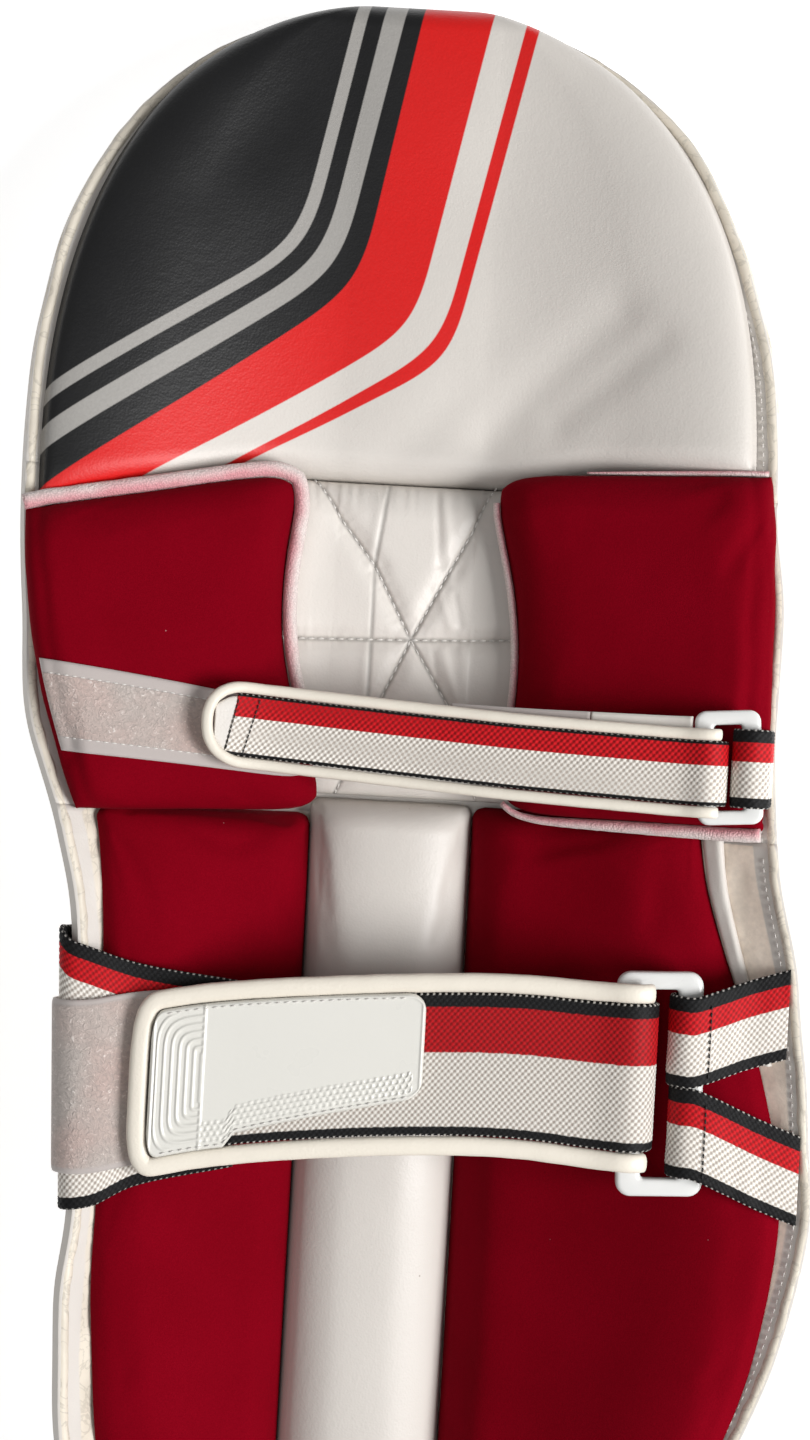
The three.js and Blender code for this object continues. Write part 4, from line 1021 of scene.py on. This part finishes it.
def ribbon(points, across=(0, 1, 0)):
    """A flat band along points: on(distance, aside, lift) is a place on it; also gives its length."""
    centre, length = measured(run_through(points))
    across = Vector(across).normalized()

    @lru_cache(maxsize=None)
    def station(distance):
        along = centre(distance + 0.8) - centre(distance - 0.8)
        return centre(distance), along.cross(across).normalized()

    def on(distance, aside, lift):
        middle, up = station(distance)
        return middle + across * aside + up * lift

    return on, length


def bar_middle(ring, side, y):
    """Middle of a ring's bar at a height up the pad: -1 is the strap's side, 1 the anchor's."""
    reach = side * (ring["wide"] - ring["bar"]) / 2
    return Vector((ring["x"] + reach - ring["turn"] * (y - ring["y"]), y, ring["z"] + reach * ring["tilt"]))


def half_turn(ring, side, y, half, thick):
    """Points of webbing round a ring's bar, from over it to under it."""
    bar = bar_middle(ring, side, y)
    radius = math.hypot(ring["bar"], ring["thick"]) / 2 + abs(ring["turn"]) * half + SEAT + thick / 2
    angles = [math.pi * (0.5 - step / 6) for step in range(7)]
    return [Vector((bar.x - side * radius * math.cos(a), y, bar.z + radius * math.sin(a))) for a in angles]


def folded_strap(line, ring, half, thick, back):
    """A strap's ribbon with its fold round the ring: its places, its length and where the fold starts."""
    fold = half_turn(ring, -1, line[-1][1], half, thick)
    on, length = ribbon([*line, *fold, back])
    return on, length, ribbon([*line, fold[0]])[1]


def webbing(bm, on, start, end, half, thick, wave=None, slant=0.0):
    """Woven webbing: a slab whose faces carry the rows of thread knots, with looped edges."""
    def knot(distance, aside):
        return math.cos(2 * math.pi * distance / KNOT_LONG) * math.cos(2 * math.pi * aside / KNOT_WIDE)

    def face(sign):
        def place(s, t):
            distance, aside = mid(start + slant * (2 * s - 1), end, t), (2 * s - 1) * half
            edge = min(1.0, half - abs(aside))
            frill = 0.22 * math.sin(2 * math.pi * distance / KNOT_LONG) * (1 - edge)
            shape = 0.4 + 0.6 * math.sqrt(edge * (2 - edge))
            ripple = wave(distance, aside) if wave else 0.0
            lift = sign * (thick / 2 * shape + KNOT_HIGH * (knot(distance, aside) - 0.6)) + ripple
            return on(distance, aside + math.copysign(frill, aside), lift)
        return place

    def raised(s, t):
        return 0.5 + 0.5 * knot(mid(start, end, t), (2 * s - 1) * half)

    columns, rows = round(2 * half / WEBBING_STEP), round((end - start) / WEBBING_STEP)
    slab(bm, columns, rows, face(-1), face(1), raised)


def striped(name, stripes):
    """Woven stripes across the webbing, with painted shade in the gaps between the thread knots, so each knot
    is lighter at its crown.
    """
    look, tree, shader, spot = new_look(name, Specular_IOR_Level=0.2)
    aside, _, knot = marks(tree)
    fray = grain(tree, spot, 700, 2)
    place = sums(tree, "ADD", aside, between(tree, fray, 0.0, 1.0, -0.008, 0.008))
    colour = stripes[0][1]
    for start, ink in stripes[1:]:
        colour = mix(tree, between(tree, place, start - 0.004, start + 0.004), colour, ink)
    edge = sums(tree, "ABSOLUTE", between(tree, aside, 0.0, 1.0, -1.0, 1.0))
    loops = sums(tree, "MULTIPLY", between(tree, edge, 0.965, 0.985), between(tree, knot, 0.5, 0.8))
    # Painted shade: the gaps between the knots are multiplied by the knot shade colour, and the crowns keep
    # the full colour.
    shade = {0: 1.0, 6: colour, 7: KNOT_SHADE}
    shade = add(tree, "Mix", shade, data_type="RGBA", blend_type="MULTIPLY").outputs[2]
    colour = mix(tree, between(tree, knot, 0.25, 0.75), shade, colour)
    colour = mix(tree, loops, colour, dimmed(WEBBING_WHITE, 0.6))
    fibre = grain(tree, spot, 2600, 3)
    wire(tree, shader, colour, between(tree, fibre, 0.2, 0.8, 0.5, 0.75), fibre, 0.00012)
    return look


def bound_edge(bm, on, half, binding, high, thick, reach, end_round, power):
    """The leather roll along both edges of a strap and round its free end."""
    aside, lift = half + binding + SEAT / 2, (high - thick / 2) / 2
    run = [(mid(reach, end_round, step / 70), aside) for step in range(70)]
    cap = []
    for step in range(41):
        out, up = squarish(math.pi * step / 40, power)
        cap.append((end_round * (1 - up), aside * out))
    route = run + cap + [(distance, -side) for distance, side in run[::-1]]
    path = [on(distance, side, lift) for distance, side in route]

    def crimp(s, t):
        return 1 + 0.05 * wobble(math.cos(2 * math.pi * s) * 0.7, t * 60, 6)

    tube(bm, path, binding, high, sides=14, square=0.8, swell=crimp)


def ring_mesh(bm, ring):
    """A moulded ring: a rounded rectangle with soft edges, threaded by the webbing."""
    def outline(wide, high, radius):
        corners = ((1, 1), (-1, 1), (-1, -1), (1, -1))
        points = []
        for number, (x, y) in enumerate(corners):
            for step in range(9):
                angle = (number + step / 8) * math.pi / 2
                points.append(Vector((x * (wide / 2 - radius) + radius * math.cos(angle),
                                      y * (high / 2 - radius) + radius * math.sin(angle), 0)))
        return points

    side, end = ring["bar"], ring["end_bar"]
    outer = outline(ring["wide"], ring["high"], 0.8 * end)
    inner = outline(ring["wide"] - 2 * side, ring["high"] - 2 * end, 0.25 * end)
    turn = Matrix.Translation((ring["x"], ring["y"], ring["z"]))
    turn = turn @ Matrix.Rotation(-ring["tilt"], 4, "Y") @ Matrix.Rotation(ring["turn"], 4, "Z")

    def place(s, t):
        i, angle = round(t * len(outer)) % len(outer), 2 * math.pi * s
        out, up = squarish(angle, 0.5)
        point = inner[i].lerp(outer[i], 0.5 + 0.5 * out)
        point.z = ring["thick"] / 2 * up
        return turn @ point

    made = skin(bm, 20, len(outer), place)
    bmesh.ops.remove_doubles(bm, verts=made, dist=0.001)


def fuzzy(name, colour, selvedge):
    """Loop tape: a mat of fine curled fibres between two flat selvedges, a little see-through."""
    look, tree, shader, spot = new_look(name, Sheen_Weight=0.3, Sheen_Roughness=0.6, Specular_IOR_Level=0.15)
    aside = sums(tree, "ABSOLUTE", sums(tree, "SUBTRACT", marks(tree)[0], 0.5))
    strip = between(tree, aside, selvedge, selvedge + 0.015)
    curls = grain(tree, spot, 620, 5, 1.2)
    cloud = grain(tree, spot, 38, 4)
    base = mix(tree, between(tree, cloud, 0.35, 0.65), colour, LOOP_ROSE)
    # Painted shade in the hollows between the curls, and a painted highlight in the shine colour on their
    # tops, by the same pattern as the bump.
    base = mix(tree, between(tree, curls, 0.35, 0.7, 0.55, 0.0), base, dimmed(colour, 0.6))
    base = mix(tree, between(tree, curls, 0.62, 0.7, 0.0, 0.6), base, LOOP_SHINE)
    base = mix(tree, strip, base, LOOP_STRIP)
    height = sums(tree, "MULTIPLY", curls, between(tree, strip, 0.0, 1.0, 1.0, 0.15))
    wire(tree, shader, base, between(tree, curls, 0.2, 0.8, 0.85, 1.0), height, 0.0007)
    return look


def moulded(name, colour):
    """Smooth injection-moulded plastic with a faint orange-peel skin."""
    look, tree, shader, spot = new_look(name, Specular_IOR_Level=0.5)
    peel = grain(tree, spot, 420, 2)
    cloud = grain(tree, spot, 40, 3)
    base = mix(tree, cloud, dimmed(colour, 0.95), dimmed(colour, 1.03))
    wire(tree, shader, base, between(tree, cloud, 0.3, 0.7, 0.24, 0.36), peel, 0.00004)
    return look


def top_of(piece):
    """Height of a finished piece's upper face at a place, in millimetres."""
    tree = BVHTree.FromObject(piece, bpy.context.evaluated_depsgraph_get())

    def height(x, y):
        hit = tree.ray_cast(Vector(((x + AXIS_X) * MM, y * MM, 0.3)), Vector((0, 0, -1)))[0]
        return hit.z / MM if hit else None

    return height


knee_stripes = ((0, WEBBING_BLACK), (0.055, WEBBING_WHITE), (0.625, WEBBING_RED), (0.955, WEBBING_BLACK))
narrow_stripes = ((0, WEBBING_BLACK), (0.13, WEBBING_WHITE), (0.59, WEBBING_RED), (0.84, WEBBING_BLACK))
knee_webbing = striped("knee_webbing", knee_stripes)
narrow_webbing = striped("narrow_webbing", narrow_stripes)
cream_leather = leather("cream_leathercloth", CREAM)
loop_tape = fuzzy("loop_tape", LOOP_WHITE, 0.335)
ring_plastic = moulded("ring_plastic", RING_WHITE)
black_thread = thread("black_thread", THREAD_BLACK)

on_knee, knee_length, knee_fold = folded_strap(KNEE_LINE, KNEE_RING, KNEE_HALF, KNEE_THICK, KNEE_BACK)
bm = blank()
webbing(bm, on_knee, KNEE_WEBBING_START, knee_length, KNEE_HALF, KNEE_THICK, slant=KNEE_SLANT)
settle(bm, "knee_strap_weave", knee_webbing, "striped_webbing", ["knee_strap_webbing"])
bm = blank()
bound_edge(bm, on_knee, KNEE_HALF, KNEE_BINDING, KNEE_BINDING_HIGH, KNEE_THICK, knee_fold + KNEE_OVER_RING,
           KNEE_END_ROUND, KNEE_END_POWER)
settle(bm, "knee_strap_edge", cream_leather, "cream_leather", ["knee_strap_binding"])
bm = bmesh.new()
for start, slant, half in ((KNEE_WEBBING_START + 8, 3.0, 11), (KNEE_WEBBING_START + 0.2, KNEE_SLANT, 10)):
    line = [on_knee(start + slant * step / 11, step, KNEE_THICK / 2 + 0.2) for step in range(-half, half + 1)]
    sew(bm, line, pitch=2.0, length=1.8, wide=0.6)
settle(bm, "knee_strap_stitches", black_thread, "striped_webbing")

TAB_START, TAB_END, TAB_TIP, TAB_ROOT, TAB_THICK = 3.0, 9.4, 6.5, 10.8, 1.8


def tab_face(lift):
    def place(s, t):
        wide = mid(TAB_TIP, TAB_ROOT, math.sin(t * math.pi / 2))
        end = TAB_END + KNEE_SLANT * (2 * s - 1)
        return on_knee(mid(TAB_START, end, t), (2 * s - 1) * wide, lift * (0.4 + 0.6 * plump(s, 0.15)))
    return place


bm = blank()
slab(bm, 24, 16, tab_face(-TAB_THICK / 2), tab_face(TAB_THICK / 2))
settle(bm, "knee_strap_end_tab", white_leather, "white_leather", ["knee_strap_tab"])

TAIL_START, TAIL_JOIN, TAIL_END, TAIL_HALF, TAIL_THICK, TAIL_GAP = 94, 148, 186, 13.4, 1.8, 1.2
TAIL_START_DRIFT, TAIL_END_DRIFT = 4.4, 7.6


def tail_face(start, end, lift):
    def place(s, t):
        distance = mid(start, end, t)
        drift = mid(TAIL_START_DRIFT, TAIL_END_DRIFT, (distance - TAIL_START) / (TAIL_END - TAIL_START))
        aside = (2 * s - 1) * TAIL_HALF + drift
        return on_knee(distance, aside, lift - (KNEE_THICK + TAIL_THICK) / 2 - TAIL_GAP)
    return place


bm = blank()
slab(bm, 20, 40, *(tail_face(TAIL_START, TAIL_JOIN, side * TAIL_THICK / 2) for side in (-1, 1)))
settle(bm, "knee_strap_end", loop_tape, "loop_tape", ["knee_strap_tail"])
bm = blank()
slab(bm, 20, 40, *(tail_face(TAIL_JOIN + 0.4, TAIL_END, side * TAIL_THICK / 2) for side in (-1, 1)))
settle(bm, "knee_strap_end_leather", white_leather, "white_leather")

LOOP_START, LOOP_END, LOOP_THICK, LOOP_SEAT = 0.02, 0.95, 1.6, 0.5
LOOP_FOOT, LOOP_FOOT_DROP, LOOP_HEAD, LOOP_HEAD_DROP = 0.195, 0.11, 0.5, 0.2
wing_height = top_of(wings["left"])


def loop_place(s, t, lift):
    across = mid(LOOP_START, LOOP_END, t)
    foot, head = LOOP_FOOT - LOOP_FOOT_DROP * across, LOOP_HEAD - LOOP_HEAD_DROP * across
    x, y, _ = wing_under(WING_LEFT, across, mid(foot, head, s))
    return Vector((x, y, wing_height(x, y) + LOOP_SEAT + lift))


bm = blank()
slab(bm, 44, 110, lambda s, t: loop_place(s, t, 0),
     lambda s, t: loop_place(s, t, LOOP_THICK * (0.45 + 0.55 * plump(s, 0.07) * plump(t, 0.03))))
settle(bm, "knee_loop_patch", loop_tape, "loop_tape", ["knee_loop_tape"])
bm = bmesh.new()
for share in (0.15, 0.85):
    seam = [loop_place(share, 0.03 + 0.94 * step / 60, LOOP_THICK) for step in range(61)]
    sew(bm, seam, pitch=3.2, length=2.1, wide=0.6)
settle(bm, "knee_loop_stitches", white_thread, "loop_tape")

bm = blank()
ring_mesh(bm, KNEE_RING)
settle(bm, "knee_ring_moulding", ring_plastic, "ring_plastic", ["knee_ring"])

ANCHOR_HALF, ANCHOR_THICK, ANCHOR_Y, ANCHOR_RIM_INSET = 14.6, 1.8, 43.5, 2.4
ANCHOR_DROP = ((7.2, 103.4), (5.6, 96.5), (3.4, 88.5))  # inset from the rim, and height
anchor_turn = half_turn(KNEE_RING, 1, ANCHOR_Y, ANCHOR_HALF, ANCHOR_THICK)[::-1][1:]
rim_x = width_of(ANCHOR_Y)[1]
rim_top = trough(rim_x - ANCHOR_RIM_INSET, ANCHOR_Y - ANCHOR_HALF) + SEAT
anchor_drop = [(rim_x - inset, ANCHOR_Y, z) for inset, z in (*ANCHOR_DROP, (ANCHOR_RIM_INSET, rim_top))]
on_anchor, anchor_length = ribbon([*anchor_turn, *anchor_drop])
bm = blank()
webbing(bm, on_anchor, 0, anchor_length, ANCHOR_HALF, ANCHOR_THICK)
settle(bm, "knee_anchor_weave", narrow_webbing, "striped_webbing", ["knee_ring_anchor"])


# Calf strap: wide striped webbing bound with cream leather, with a moulded white patch on its end.
# It runs through a large white ring that two webbing anchors tie to the outer rim; at the inner rim
# two webbing bands and a wide loop tape come round from the front for the strap's end to grip.
CALF_HALF, CALF_THICK, CALF_BINDING, CALF_BINDING_HIGH = 27.5, 3, 3.7, 2.6
CALF_LINE = ((-90, -90, 89.6), (-62, -84.4, 87.6), (0, -77.4, 86.8), (50, -74.5, 88.8), (82, -75.6, 92))
CALF_BACK = (76, -75.6, 85.6)
CALF_RING = {"x": 108.2, "y": -78.5, "z": 86.6, "wide": 33, "high": 85.6, "bar": 9.4, "end_bar": 6.8,
             "thick": 5.6, "tilt": 0, "turn": 0.045}
CALF_END_ROUND, CALF_END_POWER, CALF_OVER_RING, CALF_WEBBING_START = 11, 0.5, 6.5, 12
CALF_WAIST, CALF_FLARE = 0.985, 0.03
# Painted shade: the calf webbing's white and red are darkened copies of the knee webbing's colours.
calf_stripes = ((0, WEBBING_BLACK), (0.065, dimmed(WEBBING_WHITE, 0.86)), (0.585, dimmed(WEBBING_RED, 0.76)),
                (0.905, WEBBING_BLACK))
calf_webbing = striped("calf_webbing", calf_stripes)
on_flat_calf, calf_length, calf_fold = folded_strap(CALF_LINE, CALF_RING, CALF_HALF, CALF_THICK, CALF_BACK)


def on_calf(distance, aside, lift):
    """A place on the strap, which pulls in at its middle and spreads towards both ends."""
    spread = CALF_WAIST + CALF_FLARE * min(1.0, (2 * distance / calf_fold - 1) ** 2)
    return on_flat_calf(distance, aside * spread, lift)


bm = blank()
webbing(bm, on_calf, CALF_WEBBING_START, calf_length, CALF_HALF, CALF_THICK)
settle(bm, "calf_strap_weave", calf_webbing, "striped_webbing", ["calf_strap_webbing"])
bm = blank()
bound_edge(bm, on_calf, CALF_HALF, CALF_BINDING, CALF_BINDING_HIGH, CALF_THICK, calf_fold + CALF_OVER_RING,
           CALF_END_ROUND, CALF_END_POWER)
settle(bm, "calf_strap_edge", cream_leather, "cream_leather", ["calf_strap_binding"])
bm = blank()
ring_mesh(bm, CALF_RING)
settle(bm, "calf_ring_moulding", ring_plastic, "ring_plastic", ["calf_ring"])

CALF_ANCHOR_HALF, CALF_ANCHOR_THICK, CALF_ANCHOR_SEAM, CALF_RIM_INSET, CALF_RIM_LIFT = 17, 1.8, 125, 3.6, 1.2
CALF_DIP = {"inset": 13, "share": 0.62, "lift": 12}  # where an anchor sags between ring and rim
anchor_stitches = bmesh.new()
for part, ring_y, rim_y in (("upper", -61.2, -49), ("lower", -95.8, -112)):
    reach = width_of(rim_y)[1]
    turn = half_turn(CALF_RING, 1, ring_y, CALF_ANCHOR_HALF, CALF_ANCHOR_THICK)[::-1][1:]
    dip = on_trough(reach - CALF_DIP["inset"], mid(ring_y, rim_y, CALF_DIP["share"]), CALF_DIP["lift"])
    rim = on_trough(reach - CALF_RIM_INSET, rim_y, CALF_ANCHOR_THICK / 2 + CALF_RIM_LIFT)
    on_anchor, anchor_length = ribbon([*turn, dip, rim])

    def ruffle(distance, aside):
        return 0.5 * wobble(distance / 7, aside / 16, ring_y)

    bm = blank()
    webbing(bm, on_anchor, 0, anchor_length, CALF_ANCHOR_HALF, CALF_ANCHOR_THICK, ruffle)
    settle(bm, f"calf_anchor_{part}_weave", narrow_webbing, "striped_webbing", [f"calf_anchor_{part}"])
    seam_at = next(d for d in np.arange(0, anchor_length, 0.2)
                   if on_anchor(d, 0, 0).x > CALF_ANCHOR_SEAM and on_anchor(d, 0, 0).z > CALF_RING["z"])
    seam = [on_anchor(seam_at, aside, CALF_ANCHOR_THICK / 2 + 0.3) for aside in range(-15, 16)]
    sew(anchor_stitches, seam, pitch=2.6, length=1.9, wide=0.8)
settle(anchor_stitches, "calf_anchor_stitches", black_thread, "striped_webbing")

BAND_HALF, BAND_THICK, BAND_LEAN = 17.5, 1.8, -0.05
BAND_UNDER = ((16, 3.1), (3, 4))  # inset from the rim, and depth below the shell
BAND_ROUND_RIM = (  # inset from the rim, share of the way in, height, shares of the lift out and up
    (-5, 0, 83.5, 0.9, 0.3), (-0.8, 0.04, 87.8, 0, 0.9), (8, 0.14, 87.4, 0, 1),
)
BAND_INNER = ((-92, 0.5, 82.6), (-54, 1, 80.6))  # place across, share of the way in, height
LOOP_RIM_Y, LOOP_INNER_Y, LOOP_BAND_HALF, LOOP_BAND_THICK, LOOP_BAND_GAP = -92, -84, 33, 1.8, 0.9
LOOP_BAND_START, LOOP_BAND_END = 0.2, 0.985  # shares of the ribbon


def band_ribbon(rim_y, inner_y, lift, bend=1.0):
    """A band's ribbon from under the inner rim, round it, and in under the strap."""
    rim_x = BAND_LEAN * (rim_y - LOOP_RIM_Y) - width_of(LOOP_RIM_Y)[0]
    points = []
    for inset, out in BAND_UNDER:
        x = rim_x + inset
        points.append(on_trough(x, rim_y, -shell_wall(x, rim_y) - out - lift))
    for inset, share, z, out, up in BAND_ROUND_RIM:
        points.append(Vector((rim_x + inset - out * lift, mid(rim_y, inner_y, share**bend), z + up * lift)))
    for x, share, z in BAND_INNER:
        points.append(Vector((x, mid(rim_y, inner_y, share**bend), z + lift)))
    return ribbon(points, (BAND_LEAN, 1, 0))


for part, rim_y, inner_y, bend in (("upper", -49, -66.5, 0.45), ("lower", -122, -103, 1)):
    on_band, band_length = band_ribbon(rim_y, inner_y, 0, bend)
    bm = blank()
    webbing(bm, on_band, 0, band_length, BAND_HALF, BAND_THICK)
    settle(bm, f"calf_band_{part}_weave", narrow_webbing, "striped_webbing", [f"calf_band_{part}"])

loop_lift = (BAND_THICK + LOOP_BAND_THICK) / 2 + LOOP_BAND_GAP
on_loop, loop_length = band_ribbon(LOOP_RIM_Y, LOOP_INNER_Y, loop_lift)


def loop_face(sign):
    def place(s, t):
        lift = sign * LOOP_BAND_THICK / 2 * (0.5 + 0.5 * plump(s, 0.05))
        distance = loop_length * mid(LOOP_BAND_START, LOOP_BAND_END, t)
        return on_loop(distance, (2 * s - 1) * LOOP_BAND_HALF, lift)
    return place


bm = blank()
slab(bm, 66, 90, loop_face(-1), loop_face(1))
wide_loop_tape = fuzzy("wide_loop_tape", LOOP_WHITE, 0.46)
settle(bm, "calf_loop_band", wide_loop_tape, "loop_tape", ["calf_loop_patch"])

PATCH_START, PATCH_END, PATCH_HALF, PATCH_THICK, PATCH_TIP, PATCH_ROUND = 4.2, 109, 27.9, 2.2, 7.1, 7
PATCH_CUT_START, PATCH_NOTCH, PATCH_NOTCH_WIDE, PATCH_CUT = 34, 4.5, 4, 15
PATCH_RIDGE, PATCH_RIDGE_PITCH, PATCH_RIDGE_END, PATCH_RIDGE_HALF = 0.5, 2.9, 24, 9
COMB_LOW, COMB_HIGH, COMB_CELL = 2.8, 11.0, 2.5
PATCH_SEAM_START, PATCH_SEAM_END, PATCH_SEAM_INSET = 10, 104, 1.6
PATCH_WHITE = (0.70, 0.685, 0.635, 1)
patch_bed = CALF_THICK / 2 + SEAT


def patch_span(along):
    """Lower and upper edge of the patch at a distance along the strap."""
    squareness = 2 / CALF_END_POWER
    tip = max(0.0, (CALF_END_ROUND - along) / PATCH_TIP)
    corner = max(0.0, 1 - (PATCH_END - along) / PATCH_ROUND)
    pull = PATCH_ROUND * (1 - math.sqrt(1 - corner**2))
    top = PATCH_HALF * (1 - tip**squareness) ** (1 / squareness) - pull
    beyond = max(0.0, along - PATCH_CUT_START)
    rise = (PATCH_CUT - PATCH_NOTCH) * beyond / (PATCH_END - PATCH_CUT_START)
    return PATCH_NOTCH * min(1.0, beyond / PATCH_NOTCH_WIDE) + rise - top, top


def patch_relief(along, aside, low, high):
    """Moulded relief: nested ridges at the free end and a comb of cells along the lower edge."""
    inset = min(aside - low, high - aside, along - PATCH_START, PATCH_END - along)
    rim = 0.35 * bell(inset - 1.0, 0.6)
    if along < PATCH_RIDGE_END:
        reach = ((PATCH_RIDGE_END - along) ** 4 + max(0.0, abs(aside) - PATCH_RIDGE_HALF) ** 4) ** 0.25
        return rim + PATCH_RIDGE * max(0.0, math.cos(2 * math.pi * reach / PATCH_RIDGE_PITCH)) * (2.4 < inset)
    if along < PATCH_RIDGE_END + 1:
        return rim + PATCH_RIDGE
    if COMB_LOW < aside - low < COMB_HIGH and along < PATCH_END - 4:
        row = (aside - low - COMB_LOW) / (0.866 * COMB_CELL)
        column = along / COMB_CELL + 0.5 * (math.floor(row) % 2)
        off = math.hypot(column % 1 - 0.5, 0.866 * (row % 1 - 0.5))
        return rim + 0.45 * held((off - 0.3) / 0.12)
    return rim


def patch_face(lift, relief):
    def place(s, t):
        along = mid(PATCH_START, PATCH_END, crowd(t))
        low, high = patch_span(along)
        aside = mid(low, high, s)
        edge = plump(s, 0.04) * plump(t, 0.04)
        return on_calf(along, aside, patch_bed + lift * (0.35 + 0.65 * edge)
                       + relief * (patch_relief(along, aside, low, high) - 0.45))
    return place


bm = blank()
slab(bm, 150, 280, patch_face(0, 0), patch_face(PATCH_THICK, 1))
patch_plastic = moulded("patch_plastic", PATCH_WHITE)
settle(bm, "calf_patch_moulding", patch_plastic, "moulded_patch", ["calf_strap_patch"])
bm = bmesh.new()
sewn_along = [mid(PATCH_SEAM_START, PATCH_SEAM_END, step / 80) for step in range(81)]
for edge, inset in ((1, -PATCH_SEAM_INSET), (0, PATCH_SEAM_INSET)):
    seam = [on_calf(along, patch_span(along)[edge] + inset, patch_bed + PATCH_THICK) for along in sewn_along]
    sew(bm, seam, pitch=3.4, length=2.2, wide=0.6)
settle(bm, "calf_patch_stitches", white_thread, "moulded_patch")
